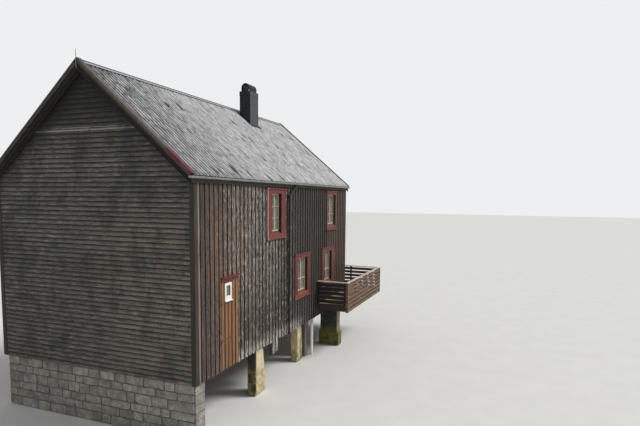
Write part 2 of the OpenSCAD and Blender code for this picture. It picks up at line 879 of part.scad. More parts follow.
// Straps that turn on the pins, and a handle
module door_fittings() {
    color("#2b2826") for (z = [hinge_low, hinge_high]) difference() {
        union() {
            translate([hinge_x, hinge_y, z]) cylinder(h = strap_h, d = 2 * pin_d, $fn = 32);
            box([board_x, hinge_y, z], [board_x + strap_t, hinge_y + strap_l, z + strap_h]);
        }
        translate([hinge_x, hinge_y, z - past])
            cylinder(h = strap_h + 2 * past, d = pin_d + 2 * pin_play, $fn = 32);
    }
    color("#2b2826") translate([board_x, leaf_y + leaf_w - handle_in, floor_z + handle_z]) {
        translate([handle_out, 0, -handle_l / 2]) cylinder(h = handle_l, d = handle_d, $fn = 32);
        for (side = [-1, 1]) translate([0, 0, side * (handle_l / 2 - handle_d)])
            rotate([0, 90, 0]) cylinder(h = handle_out, d = handle_d - 4, $fn = 32);
    }
}

// A ledger on the long wall and one on the sea gable, each with the joists that it carries
module balcony_joists() {
    top = floor_z - deck_board_t;
    inner_rim = rim_x - rim_t;
    wall_end = body_l - corner_leg - seat;
    wall_side = half_w - corner_leg - seat;
    color("#4d443b") {
        box([half_w, balcony_start + rim_t, joist_z], [half_w + ledger_t, wall_end, top]);
        for (y = spread(balcony_start + rim_t + joist_w / 2, wall_end - joist_w / 2, joist_pitch))
            box([half_w + ledger_t, y - joist_w / 2, joist_z], [inner_rim, y + joist_w / 2, top]);
        box([-wall_side, body_l, joist_z], [wall_side, body_l + ledger_t, top]);
        for (x = spread(-wall_side + joist_w / 2, inner_rim - joist_w / 2, joist_pitch))
            box([x - joist_w / 2, body_l + ledger_t, joist_z],
                [x + joist_w / 2, rim_y - rim_t, top]);
    }
}

// Rim boards round the balcony's near end, its long side, its sea side and its left end
module balcony_rim() {
    inner = rim_x - rim_t;
    color("#3c342d") {
        box([walk_in, balcony_start, joist_z], [inner - seat, balcony_start + rim_t, floor_z]);
        box([inner, balcony_start, joist_z], [rim_x, rim_y, floor_z]);
        box([-half_w, rim_y - rim_t, joist_z], [inner - seat, rim_y, floor_z]);
        box([-half_w, walk_y, joist_z], [-half_w + rim_t, rim_y - rim_t - seat, floor_z]);
    }
}

module balcony_deck() {
    low = floor_z - deck_board_t;
    color("#8f8274") {
        box([walk_in, balcony_start + rim_t, low], [rim_x - rim_t, rim_y - rim_t, floor_z]);
        box([-half_w + rim_t, walk_y, low], [walk_in - seat, rim_y - rim_t, floor_z]);
    }
}

// Boards on the outer face of posts, drawn along X with the outer face on y = 0. Some of the
// rows may hang below the deck, on the face of the rim
module railing(x0, x1, first_post, last_post, hanging) {
    board_z = floor_z + slat_gap - hanging * (slat_h + slat_gap);
    top = floor_z + rail_h - rail_t;
    rows = floor((top - board_z + slat_gap) / (slat_h + slat_gap));
    for (i = [0:rows - 1]) translate([x0, 0, board_z + i * (slat_h + slat_gap)])
        cube([x1 - x0, slat_t, slat_h]);
    for (x = spread(first_post, last_post, post_span))
        box([x - post_w / 2, slat_t, floor_z], [x + post_w / 2, slat_t + post_w, top]);
}

module side_railing() {
    near = balcony_start + slat_t + seat;
    color("#9b8272") translate([balcony_x, 0, 0]) rotate([0, 0, 90])
        railing(near, balcony_end, near + post_w / 2, balcony_end - slat_t - post_w / 2 - seat, 2);
}

module sea_railing() {
    right = balcony_x - slat_t - seat;
    color("#9b8272") translate([0, balcony_end, 0]) mirror([0, 1, 0])
        railing(-half_w, right, -half_w + slat_t + post_w / 2 + seat,
            right - post_w * 1.5 - seat, 2);
}

module end_railings() {
    left_end = balcony_end - slat_t - seat;
    color("#9b8272") {
        translate([0, balcony_start, 0]) railing(walk_in, balcony_x, walk_in + post_w / 2,
            balcony_x - slat_t - post_w * 1.5 - seat, 0);
        translate([-half_w, 0, 0]) mirror([1, 0, 0]) rotate([0, 0, 90])
            railing(walk_y, left_end, walk_y + post_w / 2,
                left_end - post_w * 1.5 - seat, 0);
    }
}

module top_rail() {
    low = floor_z + rail_h - rail_t;
    high = floor_z + rail_h;
    in = rail_w - rail_over;
    color("#c4b8aa") {
        box([walk_in, balcony_start - rail_over, low], [balcony_x - in - seat, balcony_start + in, high]);
        box([balcony_x - in, balcony_start - rail_over, low], [x_high, y_high, high]);
        box([-half_w - rail_over, balcony_end - in, low], [balcony_x - in - seat, y_high, high]);
        box([-half_w - rail_over, walk_y, low], [-half_w + in, balcony_end - in - seat, high]);
    }
}

translate(shift) {
    landward_gable();
    sea_gable();
    left_wall();
    right_wall();
    right_wall_corner();
    right_wall_at_door();
    corner_boards();
    floor_frame();
    lower_floor();
    upper_floor();
    landward_foundation();
    near_piers();
    middle_piers();
    sea_piers();
    middle_posts();
    roof_decks();
    right_roof_sheets();
    left_roof_sheets();
    ridge_cap();
    bargeboards();
    verge_boards();
    fascia_boards();
    gutters();
    downpipes();
    chimney();
    chimney_hood();
    ridge_spike();
    window_frames();
    window_sashes();
    window_panes();
    door_frames();
    door_hood();
    balcony_door();
    hinge_pins();
    side_door();
    door_window();
    door_pane();
    door_fittings();
    balcony_joists();
    balcony_rim();
    balcony_deck();
    side_railing();
    sea_railing();
    end_railings();
    top_rail();
}
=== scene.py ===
import math
import random

import bpy
from mathutils import Matrix, Vector, noise


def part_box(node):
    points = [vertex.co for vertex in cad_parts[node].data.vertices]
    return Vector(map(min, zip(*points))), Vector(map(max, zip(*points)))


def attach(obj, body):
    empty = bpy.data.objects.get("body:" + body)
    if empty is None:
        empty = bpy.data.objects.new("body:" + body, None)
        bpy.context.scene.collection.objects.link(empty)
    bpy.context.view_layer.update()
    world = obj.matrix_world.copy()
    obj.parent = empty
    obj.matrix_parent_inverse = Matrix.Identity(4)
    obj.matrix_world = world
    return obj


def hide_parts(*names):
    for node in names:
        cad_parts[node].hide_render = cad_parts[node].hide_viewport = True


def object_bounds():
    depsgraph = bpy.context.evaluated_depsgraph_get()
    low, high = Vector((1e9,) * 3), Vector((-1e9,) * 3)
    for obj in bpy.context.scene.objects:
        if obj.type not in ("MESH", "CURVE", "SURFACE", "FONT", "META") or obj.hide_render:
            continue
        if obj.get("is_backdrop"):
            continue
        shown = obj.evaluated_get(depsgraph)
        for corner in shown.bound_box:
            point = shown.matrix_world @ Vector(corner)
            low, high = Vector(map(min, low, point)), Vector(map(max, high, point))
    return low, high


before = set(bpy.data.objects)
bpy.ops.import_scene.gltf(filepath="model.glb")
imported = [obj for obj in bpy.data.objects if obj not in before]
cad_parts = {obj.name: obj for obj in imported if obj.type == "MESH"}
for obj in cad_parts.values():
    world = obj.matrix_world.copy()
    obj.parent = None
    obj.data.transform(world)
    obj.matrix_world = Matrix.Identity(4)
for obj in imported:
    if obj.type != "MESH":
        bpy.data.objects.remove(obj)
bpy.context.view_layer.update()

print("frame loaded")

# House coordinates: x from the ridge line, y from the landward gable's frame, z from the boards' lower end
gableLow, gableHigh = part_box("landward_gable")
origin = Vector(((gableLow.x + gableHigh.x) / 2, gableLow.y, gableLow.z))


def houseBox(node):
    low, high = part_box(node)
    return low - origin, high - origin


halfWidth = (gableHigh.x - gableLow.x) / 2
houseLength = houseBox("sea_gable")[1].y
wallTop = houseBox("right_wall")[1].z
ridgeUnder = houseBox("landward_gable")[1].z
ground = -origin.z
slope = math.atan2(ridgeUnder - wallTop, halfWidth)
doorLow, doorHigh = houseBox("side_door")


def linear(code):
    parts = [int(code[i:i + 2], 16) / 255 for i in (1, 3, 5)]
    return [p / 12.92 if p <= 0.04045 else ((p + 0.055) / 1.055) ** 2.4 for p in parts] + [1.0]


# Settings are sockets' values or the node's own. A link comes from a socket or from a node's first output
def addNode(tree, kind, settings=None, links=None):
    node = tree.nodes.new("ShaderNode" + kind)
    for key, value in (settings or {}).items():
        if isinstance(key, int) or key in node.inputs:
            node.inputs[key].default_value = value
        else:
            setattr(node, key, value)
    for key, source in (links or {}).items():
        socket = source if isinstance(source, bpy.types.NodeSocket) else source.outputs[0]
        tree.links.new(socket, node.inputs[key])
    return node


def emptyTree(owner):
    owner.use_nodes = True
    owner.node_tree.nodes.clear()
    return owner.node_tree


def deselect():
    if bpy.context.object and bpy.context.object.mode != "OBJECT":
        bpy.ops.object.mode_set(mode="OBJECT")
    bpy.ops.object.select_all(action="DESELECT")


def activate(piece):
    deselect()
    piece.select_set(True)
    bpy.context.view_layer.objects.active = piece


def added(operator, **settings):
    deselect()
    operator(**settings)
    return bpy.context.object


def block(name, low, high):
    low, high = Vector(low), Vector(high)
    piece = added(bpy.ops.mesh.primitive_cube_add, size=1, location=(low + high) / 2)
    piece.name = name
    piece.scale = high - low
    bpy.ops.object.transform_apply(location=True, rotation=True, scale=True)
    return piece


# Selects the vertices, edges or faces for which pick is true, then runs an edit-mode operator on them
def shape(piece, kind, pick, operator, **settings):
    activate(piece)
    mesh = piece.data
    for group in (mesh.vertices, mesh.edges, mesh.polygons):
        group.foreach_set("select", [False] * len(group))
    if kind == "FACE":
        chosen = [f for f in mesh.polygons if pick(f.center, f.normal)]
    elif kind == "EDGE":
        ends = [(mesh.vertices[e.vertices[0]].co, mesh.vertices[e.vertices[1]].co) for e in mesh.edges]
        chosen = [e for e, (a, b) in zip(mesh.edges, ends) if pick(a, b)]
    else:
        chosen = [v for v in mesh.vertices if pick(v.co)]
    for item in chosen:
        item.select = True
        for v in getattr(item, "vertices", []):
            mesh.vertices[v].select = True
    bpy.context.tool_settings.mesh_select_mode = (kind == "VERT", kind == "EDGE", kind == "FACE")
    bpy.ops.object.mode_set(mode="EDIT")
    operator(**settings)
    bpy.ops.object.mode_set(mode="OBJECT")


def along(a, b, axis):
    return abs((b - a).normalized()[axis]) > 0.9


def modify(piece, kind, **settings):
    activate(piece)
    modifier = piece.modifiers.new(kind.title(), kind)
    for key, value in settings.items():
        setattr(modifier, key, value)
    bpy.ops.object.modifier_apply(modifier=modifier.name)


# A copy with its own mesh, moved by a matrix
def copyOf(master, matrix, copies):
    piece = bpy.data.objects.new(master.name, master.data.copy())
    piece.data.transform(matrix)
    bpy.context.scene.collection.objects.link(piece)
    copies.append(piece)
    return piece


# Brings a master of size 1 to a place and a size
def placed(place, size):
    return Matrix.Translation(place) @ Matrix.Diagonal((*size, 1))


# Sets the shade that a finish mixes in, from each vertex's place and the shade that it had
def paintShade(piece, shadeAt):
    layers = piece.data.attributes
    layer = layers.get("shade") or layers.new("shade", "FLOAT", "POINT")
    for v, shade in zip(piece.data.vertices, layer.data):
        shade.value = shadeAt(v.co, shade.value)


def joined(name, copies, master=None):
    deselect()
    for piece in copies:
        piece.select_set(True)
    bpy.context.view_layer.objects.active = copies[0]
    bpy.ops.object.join()
    piece = bpy.context.object
    piece.name = name
    if master:
        bpy.data.objects.remove(master)
    return piece


def dress(piece, material):
    piece.data.materials.clear()
    piece.data.materials.append(material)


# Moves a piece made in house coordinates to its place and hands it to its body
def settle(piece, material, body="house", stands=()):
    piece.data.transform(Matrix.Translation(origin))
    dress(piece, material)
    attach(piece, body)
    if stands:
        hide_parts(*stands)


cameraPlace = {
    "at": (10.9553, -10.568, 4.897),  # metres, in house coordinates
    "yaw": 21.147, "pitch": -5.117, "roll": 0.532,
    "focal": 28.12, "sensor": 36, "shift": 0.0461, "clipEnd": 500,
}
cameraData = bpy.data.cameras.new("camera")
camera = bpy.data.objects.new("camera", cameraData)
bpy.context.scene.collection.objects.link(camera)
bpy.context.scene.camera = camera
cameraData.sensor_width = cameraPlace["sensor"]
cameraData.lens = cameraPlace["focal"]
cameraData.shift_y = cameraPlace["shift"]
cameraData.clip_end = cameraPlace["clipEnd"]
camera.matrix_world = (
    Matrix.Translation(origin + Vector(cameraPlace["at"]))
    @ Matrix.Rotation(math.radians(cameraPlace["yaw"]), 4, "Z")
    @ Matrix.Rotation(math.radians(90 + cameraPlace["pitch"]), 4, "X")
    @ Matrix.Rotation(math.radians(cameraPlace["roll"]), 4, "Z")
)

studio = {
    "sky": "#e9eaec", "skyStrength": 0.55, "shownSky": "#eeeff0",
    "sun": 2.5, "sunAngle": 24, "sunFrom": (0.62, 0.30, 0.72),
    "floorSize": 400, "floorDown": 0.002,
}
world = bpy.data.worlds.new("studio")
bpy.context.scene.world = world
tree = emptyTree(world)
paths = addNode(tree, "LightPath").outputs
seen = addNode(tree, "Math", {"operation": "MAXIMUM"},
               {0: paths["Is Camera Ray"], 1: paths["Is Transmission Ray"]})
shown = addNode(tree, "Background", {"Color": linear(studio["shownSky"]), "Strength": 1.0})
light = addNode(tree, "Background", {"Color": linear(studio["sky"]), "Strength": studio["skyStrength"]})
mixed = addNode(tree, "MixShader", {}, {0: seen, 1: light, 2: shown})
addNode(tree, "OutputWorld", {}, {"Surface": mixed})

sunData = bpy.data.lights.new("sun", "SUN")
sunData.energy = studio["sun"]
sunData.angle = math.radians(studio["sunAngle"])
sun = bpy.data.objects.new("sun", sunData)
bpy.context.scene.collection.objects.link(sun)
sun.rotation_euler = Vector(studio["sunFrom"]).to_track_quat("Z", "Y").to_euler()

floor = added(bpy.ops.mesh.primitive_plane_add, size=studio["floorSize"],
              location=(0, 0, -studio["floorDown"]))
floor.name = "floor"
floor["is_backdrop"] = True

bpy.context.scene.view_settings.view_transform = "Standard"
print("camera and light set")

# What all the opaque finishes share
texture = {
    "grainDetail": 6.0, "fineDetail": 5.0, "fineBroken": 0.65, "markDetail": 4.0, "markBroken": 0.6,
    "bump": 0.8, "islandShift": 40.0, "roughFrom": 0.3, "roughTo": 0.7,
}


# The scales of a noise whose spots have this size in millimetres, one for all axes or one for each
def perMetre(sizeMm):
    return [1000 / s for s in (sizeMm if isinstance(sizeMm, tuple) else (sizeMm,) * 3)]


# A mark shows where the noise rises through cut. Along x, y or z it may have a place in house coordinates,
# how far from there it is full, and how far off it ends. A tilt turns these axes about y first
def mark(sizeMm, cut, colour, amount, seed=(3, 5, 7), tilt=0, **near):
    return {"sizeMm": sizeMm, "cut": cut, "colour": colour, "amount": amount, "seed": seed, "tilt": tilt,
            "near": near}


def addMarks(tree, coords, colour, marks):
    split = addNode(tree, "SeparateXYZ", {}, {0: coords})
    for one in marks:
        axes, start = split, origin
        if one["tilt"]:
            turned = addNode(tree, "Mapping", {"Rotation": (0, one["tilt"], 0)}, {"Vector": coords})
            axes = addNode(tree, "SeparateXYZ", {}, {0: turned})
            start = Matrix.Rotation(one["tilt"], 3, "Y") @ origin
        spread = addNode(tree, "Mapping", {"Scale": perMetre(one["sizeMm"]), "Location": one["seed"]},
                         {"Vector": coords})
        spots = addNode(tree, "TexNoise", {"Scale": 1.0, "Detail": texture["markDetail"],
                                           "Roughness": texture["markBroken"]}, {"Vector": spread})
        low, high = one["cut"]
        cut = addNode(tree, "MapRange", {"From Min": low, "From Max": high}, {"Value": spots})
        strength = addNode(tree, "Math", {"operation": "MULTIPLY", 1: one["amount"]}, {0: cut})
        for axis, (place, full, reach) in one["near"].items():
            k = "xyz".index(axis)
            away = addNode(tree, "Math", {"operation": "SUBTRACT", 1: place + start[k]},
                           {0: axes.outputs[k]})
            away = addNode(tree, "Math", {"operation": "ABSOLUTE"}, {0: away})
            fade = addNode(tree, "MapRange", {"interpolation_type": "SMOOTHSTEP", "From Min": full,
                                              "From Max": reach, "To Min": 1.0, "To Max": 0.0},
                           {"Value": away})
            strength = addNode(tree, "Math", {"operation": "MULTIPLY"}, {0: strength, 1: fade})
        colour = addNode(tree, "MixRGB", {"Color2": linear(one["colour"])},
                         {"Fac": strength, "Color1": colour})
    return colour


# An opaque finish: colours along stretched noise, a tone for each board, marks, roughness and relief
def finish(name, colours, grainMm, fineMm, bumpMm, rough, tone=0.0, span=(0.3, 0.7), broken=0.6, shade="",
           metal=0.0, marks=()):
    material = bpy.data.materials.new(name)
    tree = emptyTree(material)
    coords = addNode(tree, "TexCoord").outputs["Object"]
    island = addNode(tree, "NewGeometry").outputs["Random Per Island"]
    # Boards that differ in tone also take their grain from different places
    apart = texture["islandShift"] if tone else 0
    shift = addNode(tree, "Math", {"operation": "MULTIPLY", 1: apart}, {0: island})
    moved = addNode(tree, "VectorMath", {"operation": "ADD"}, {0: coords, 1: shift})
    scaled = addNode(tree, "Mapping", {"Scale": perMetre(grainMm)}, {"Vector": moved})
    grain = addNode(tree, "TexNoise", {"Scale": 1.0, "Detail": texture["grainDetail"], "Roughness": broken},
                    {"Vector": scaled})
    colour = addNode(tree, "ValToRGB", {}, {"Fac": grain})
    stops, codes = colour.color_ramp.elements, colours.split()
    for i, code in enumerate(codes):
        place = span[0] + (span[1] - span[0]) * i / (len(codes) - 1)
        stop = stops[i] if i < 2 else stops.new(place)
        stop.position, stop.color = place, linear(code)
    if tone:
        toned = addNode(tree, "MapRange", {"To Min": 1 - tone, "To Max": 1 + tone}, {"Value": island})
        colour = addNode(tree, "MixRGB", {"blend_type": "MULTIPLY", "Fac": 1.0},
                         {"Color1": colour, "Color2": toned})
    colour = addMarks(tree, coords, colour, marks)
    if shade:
        painted = addNode(tree, "Attribute", {"attribute_name": "shade"}).outputs["Fac"]
        colour = addNode(tree, "MixRGB", {"Color2": linear(shade)}, {"Fac": painted, "Color1": colour})
    scaled = addNode(tree, "Mapping", {"Scale": perMetre(fineMm)}, {"Vector": moved})
    fine = addNode(tree, "TexNoise", {"Scale": 1.0, "Detail": texture["fineDetail"],
                                      "Roughness": texture["fineBroken"]}, {"Vector": scaled})
    roughness = addNode(tree, "MapRange", {"From Min": texture["roughFrom"], "From Max": texture["roughTo"],
                                           "To Min": rough[0], "To Max": rough[1]}, {"Value": fine})
    bump = addNode(tree, "Bump", {"Strength": texture["bump"], "Distance": bumpMm / 1000}, {"Height": fine})
    shader = addNode(tree, "BsdfPrincipled", {"Metallic": metal},
                     {"Base Color": colour, "Roughness": roughness, "Normal": bump})
    addNode(tree, "OutputMaterial", {}, {"Surface": shader})
    return material


# Colours run from dark to light. Grain, fine texture and relief have real sizes in mm, and the finest are
# drawn as coarse as they need to be to show. Shade is the colour that a piece's shade attribute brings in
# The shade attribute carries painted shade, and on the roof grime and spots as well
looks = {
    # rough-sawn pine left bare to the weather: grey fibres over brown, split along the grain, no shine
    "weatheredPine": dict(colours="#120e0c #352d27 #5e5349 #a99d8f", grainMm=(15, 15, 520),
        fineMm=(6, 6, 200), bumpMm=6, rough=(0.75, 0.95), tone=0.3, span=(0.35, 0.69), broken=0.78, marks=[
            mark((34, 34, 280), (0.52, 0.6), "#171413", 0.75, seed=(4, 9, 1)),
            mark((60, 60, 1400), (0.35, 0.7), "#5a4030", 0.75, y=(0.9, 0.35, 0.9), z=(2.6, 2.2, 3.4)),
            mark((50, 50, 900), (0.35, 0.65), "#6b4f3c", 0.7, y=(1.7, 0.7, 1.3), z=(3.3, 0.6, 1.4)),
            mark((300, 300, 900), (0.0, 0.3), "#1d1815", 0.6, y=(7.2, 2.2, 2.7), z=(2.4, 3.2, 4.0)),
            mark((200, 200, 900), (0.35, 0.6), "#54382c", 0.6, y=(11.0, 1.2, 1.7)),
            mark((12, 12, 200), (0.55, 0.6), "#bdb4aa", 0.9, y=(3.2, 1.2, 2.2), z=(3.7, 1.2, 2.6)),
            mark((10, 10, 70), (0.62, 0.66), "#a89f96", 0.8, seed=(5, 8, 2), y=(3.6, 3.0, 4.4),
                 z=(2.0, 2.0, 3.4)),
            mark((32, 32, 240), (0.6, 0.65), "#c9beb3", 0.8, seed=(8, 2, 1), y=(3.5, 1.7, 3.3)),
            mark((13, 13, 200), (0.49, 0.54), "#c4bcb2", 0.92, y=(4.1, 2.0, 3.2), z=(-0.1, 0.2, 0.62)),
            mark((60, 60, 700), (0.3, 0.5), "#8d8175", 0.7, y=(0.13, 0.035, 0.07)),
        ]),
    # the boards behind, in the shade of the ones before them: nearly black, dull
    "shadedPine": dict(colours="#070605 #100d0b #1c1713", grainMm=(30, 30, 900), fineMm=(9, 9, 260), bumpMm=3,
        rough=(0.8, 0.97), tone=0.15),
    # pine brushed with wood tar long ago: dark and dull, with grey where the tar has worn off
    "tarredPine": dict(colours="#31312f #51504c #6d6b64 #9b978e", grainMm=(260, 260, 30),
        fineMm=(120, 120, 6), bumpMm=3, rough=(0.75, 0.95), tone=0.13, span=(0.33, 0.68), broken=0.75,
        # shade: painted shadow under each board's lap and close under the verge
        shade="#050505", marks=[
            # Darker towards the top of the gable
            mark((900, 900, 300), (0.0, 0.3), "#121212", 0.82, z=(8.4, 0.9, 2.7)),
            mark((260, 260, 90), (0.36, 0.46), "#b3b0aa", 0.9, y=(-0.03, 0.1, 0.2), z=(6.7, 0.035, 0.05)),
            # Painted light: lighter brown-grey low on the right of the gable
            mark((800, 800, 130), (0.36, 0.62), "#8a7d70", 0.6, x=(2.4, 1.2, 3.0), z=(2.2, 1.2, 3.0)),
            mark((150, 150, 20), (0.6, 0.66), "#b5aea5", 0.8, seed=(4, 9, 1), x=(2.6, 0.7, 1.6),
                 z=(2.6, 0.8, 1.8)),
            mark((340, 340, 26), (0.58, 0.66), "#8b8c88", 0.6, seed=(2, 6, 8), x=(-2.2, 1.2, 2.4),
                 z=(4.4, 0.8, 1.6)),
            mark((620, 620, 900), (0.5, 0.62), "#30322c", 0.5, seed=(7, 3, 5)),
            mark((900, 900, 40), (0.62, 0.72), "#242322", 0.6, seed=(1, 1, 9)),
        ]),
    # pressed fibre cement, old: pale and chalky, with lichen and painted shade along the waves
    "fibreCement": dict(colours="#929292 #bababa #d6d6d5 #f0efed", grainMm=(300, 60, 300),
        fineMm=(28, 16, 28), bumpMm=2.5, rough=(0.75, 0.95), tone=0.06, span=(0.32, 0.68), shade="#232429",
        marks=[
            mark((300, 40, 300), (0.53, 0.6), "#45464b", 0.6, y=(0.6, 1.4, 4.0)),
            mark((110, 60, 110), (0.66, 0.7), "#4a4b4d", 0.7, seed=(9, 1, 4)),
            mark((240, 70, 240), (0.5, 0.58), "#2d3138", 0.7, z=(8.3, 0.2, 1.3), y=(0.3, 0.9, 2.6)),
        ]),
    # red linseed paint brushed on pine: low sheen, painted shade in the reveals, lighter orange on the sills
    "redPaint": dict(colours="#4e1b18 #65221e #772d27", grainMm=(40, 40, 220), fineMm=(12, 12, 60),
        bumpMm=0.8, rough=(0.45, 0.7), marks=[
            # Painted shade in the reveals, deeper at the windows and deepest on each window's far jamb
            mark(60, (0.0, 0.1), "#3d120f", 0.9, x=(3.46, 0.0, 0.03)),
            *(mark(60, (0.0, 0.1), "#2c100e", 0.8, x=(3.45, 0.03, 0.06), z=(middle, 0.61, 0.63))
              for middle in (4.39, 1.99)),
            *(mark(60, (0.0, 0.1), "#1a0b0a", 0.9, x=(3.475, 0.045, 0.058), y=(far, 0.035, 0.045),
                   z=(middle, 0.66, 0.68))
              for far, middle in ((4.945, 4.39), (10.5, 4.39), (7.293, 1.99), (10.063, 1.99))),
            mark((30, 30, 160), (0.6, 0.7), "#936a5c", 0.6),
            mark((60, 60, 200), (0.25, 0.45), "#b58c82", 0.8, y=(3.93, 0.035, 0.05), z=(4.4, 0.9, 1.0)),
            mark((60, 110, 50), (0.42, 0.56), "#8f5741", 0.7, y=(6.65, 0.75, 0.85), z=(1.13, 0.06, 0.2)),
            mark((60, 110, 50), (0.45, 0.58), "#8f5a48", 0.7, y=(4.6, 0.8, 0.9), z=(3.53, 0.05, 0.14)),
            mark((70, 70, 260), (0.4, 0.6), "#54413a", 0.6, y=(10.0, 0.7, 0.8), z=(4.4, 0.9, 1.0)),
        ]),
    # cream linseed paint brushed on narrow bars: a soft sheen, a little yellowed
    "creamPaint": dict(colours="#a3947c #b3a48a #c4b79f", grainMm=(60, 60, 260), fineMm=(12, 12, 60),
        bumpMm=0.4, rough=(0.4, 0.6), marks=[
            mark((22, 22, 90), (0.66, 0.72), "#a39783", 0.6),
        ]),
    # white paint brushed round the door's glass: the brightest spot, with a soft sheen
    "whitePaint": dict(colours="#d8d2c6 #e8e3d9 #f1ede4", grainMm=(60, 60, 200), fineMm=(12, 12, 60),
        bumpMm=0.4, rough=(0.4, 0.6)),
    # planed pine, oiled: warm brown with clear long grain and painted shade on its edges and in its gaps
    "oiledPine": dict(colours="#432713 #704928 #94643a #b08050", grainMm=(16, 16, 700), fineMm=(7, 7, 240),
        bumpMm=2, rough=(0.55, 0.8), tone=0.16, span=(0.33, 0.68), shade="#140c06", marks=[
            mark((30, 30, 500), (0.48, 0.6), "#5f4a38", 0.6, z=(0.0, 0.2, 1.2)),
        ]),
    # sawn trim under dark stain: even, nearly black, dull
    "darkTrim": dict(colours="#241f1c #332d28 #443c36", grainMm=(40, 40, 900), fineMm=(10, 10, 240), bumpMm=2,
        rough=(0.65, 0.9)),
    # stained verge boards: brown-grey, greyer where the sun reaches, with red paint left near one eave
    "vergePaint": dict(colours="#26221f #36312d #4a443f", grainMm=(300, 60, 300), fineMm=(60, 12, 60),
        bumpMm=1.5, rough=(0.6, 0.85), marks=[
            mark((200, 60, 200), (0.25, 0.5), "#625a54", 0.9, x=(1.9, 1.75, 1.9)),
            # Painted shadow: a dark line along the slope, between the verge boards
            mark((200, 60, 200), (0.2, 0.4), "#1d1a19", 0.85, tilt=-slope, z=(6.385, 0.04, 0.055)),
            mark((260, 80, 260), (0.25, 0.42), "#5c2831", 0.92, x=(3.35, 0.42, 0.6), y=(-0.2, 0.3, 0.6)),
        ]),
    # tarred bargeboards: dark from the tar and painted nearly black as shade under the verge, dull
    "bargePine": dict(colours="#080706 #0d0c0b #1a1715", grainMm=(300, 60, 300), fineMm=(60, 10, 60),
        bumpMm=2, rough=(0.8, 0.95)),
    # pine gone grey on the posts and crossbeam, and white paint on the round post
    "greyPine": dict(colours="#55504b #6f6963 #8a847c", grainMm=(300, 60, 300), fineMm=(60, 10, 60), bumpMm=2,
        rough=(0.7, 0.9), marks=[
            mark((90, 90, 400), (0.0, 0.1), "#f3f3ef", 1.0, x=(3.38, 0.07, 0.075), y=(8.16, 0.07, 0.075)),
            mark(60, (0.3, 0.5), "#b9b4ae", 0.8, x=(3.42, 0.1, 0.2), z=(-0.08, 0.12, 0.2)),
        ]),
    # sawn structural timber: plain brown, dull, with a faint grain
    "sawnTimber": dict(colours="#4b4037 #66594c #7d6f60", grainMm=240, fineMm=30, bumpMm=2,
        rough=(0.75, 0.95)),
    # planed floor boards: light brown, worn to a low sheen
    "floorPine": dict(colours="#6d5b4a #8a7661 #a18d76", grainMm=(60, 700, 60), fineMm=(12, 160, 12),
        bumpMm=1, rough=(0.6, 0.85), tone=0.12),
    # planed railing boards, brown going grey: boards differ in tone
    "railPine": dict(colours="#443325 #634c39 #80654d", grainMm=(500, 500, 30), fineMm=(160, 160, 9),
        bumpMm=2, rough=(0.65, 0.9), tone=0.14, marks=[
            mark((300, 300, 60), (0.55, 0.65), "#a09284", 0.5),
        ]),
    # the same boards on the shaded ends, painted dark for the shade they stand in
    "shadedEndRail": dict(colours="#120e0b #1f1915 #312821", grainMm=(500, 500, 30), fineMm=(160, 160, 9),
        bumpMm=2, rough=(0.65, 0.9), tone=0.14),
    # a handrail bleached and worn pale by hands and sun
    "paleRail": dict(colours="#a4978a #bfb2a4 #d2c7ba", grainMm=(400, 400, 60), fineMm=(100, 100, 12),
        bumpMm=1, rough=(0.6, 0.85)),
    # concrete cast in rough boards, ochre: matt and pitted, mossy near the ground, painted shade on its
    # landward face
    "ochreConcrete": dict(colours="#b3a280 #cdbc9b #ddcfb3", grainMm=(260, 260, 160), fineMm=18, bumpMm=5,
        rough=(0.8, 0.98), marks=[
            # Painted shade on the landward face, under the house
            mark((180, 180, 260), (0.0, 0.25), "#26221d", 0.95, y=(3.3, 0.03, 0.07)),
            mark(180, (0.4, 0.55), "#8f8752", 0.75, z=(-1.4, 0.5, 1.0)),
        ]),
    # pale cast concrete: matt and pitted, darker on the far part of one face and mossy at the foot
    "paleConcrete": dict(colours="#a3987a #cabd95 #dfd5b0", grainMm=(200, 200, 320), fineMm=18, bumpMm=5,
        rough=(0.8, 0.98), marks=[
            mark((160, 160, 320), (0.3, 0.5), "#5b5140", 0.85, y=(7.4, 0.1, 0.35)),
            mark((160, 160, 260), (0.4, 0.55), "#6c6a3a", 0.7, z=(-1.5, 0.2, 0.8)),
        ]),
    # cast concrete darkened by the sea and by painted shade: rough, green with algae below
    "seaConcrete": dict(colours="#22241e #35372f #4c4c42", grainMm=(260, 260, 200), fineMm=20, bumpMm=6,
        rough=(0.7, 0.95), marks=[
            # Painted light: tan on the outer face near the top, where light falls
            mark((240, 240, 400), (0.25, 0.4), "#a8927f", 0.85, x=(4.0, 0.05, 0.11), z=(0.0, 0.9, 1.0)),
            mark((150, 150, 220), (0.34, 0.48), "#6b6a2a", 0.85, z=(-1.4, 0.4, 0.8)),
        ]),
    # split grey fieldstone: each stone has its own tone, rough and matt
    "fieldstone": dict(colours="#6a6863 #86837c #a19d94", grainMm=220, fineMm=16, bumpMm=4,
        rough=(0.75, 0.95), tone=0.22, marks=[
            mark(120, (0.6, 0.66), "#c3c0b4", 0.5),
        ]),
    # struck mortar between the stones: dark, matt and gritty
    "mortar": dict(colours="#55524c #6d6a62", grainMm=120, fineMm=10, bumpMm=4, rough=(0.85, 0.98)),
    # dark painted sheet steel, folded: smooth with a low gloss, pale along the middle of the ridge cap's
    # flange
    "darkSheet": dict(colours="#141617 #1b1e1f #25282a", grainMm=(180, 180, 500), fineMm=8, bumpMm=0.3,
        rough=(0.35, 0.6), metal=0.3, marks=[
            mark((300, 600, 300), (0.1, 0.35), "#b9bbbd", 0.85, x=(0.085, 0.025, 0.04), z=(8.45, 0.12, 0.2)),
            # Painted light: lighter grey on the chimney's side that faces the sun
            mark(300, (0.0, 0.1), "#58595b", 0.8, x=(0.775, 0.012, 0.02)),
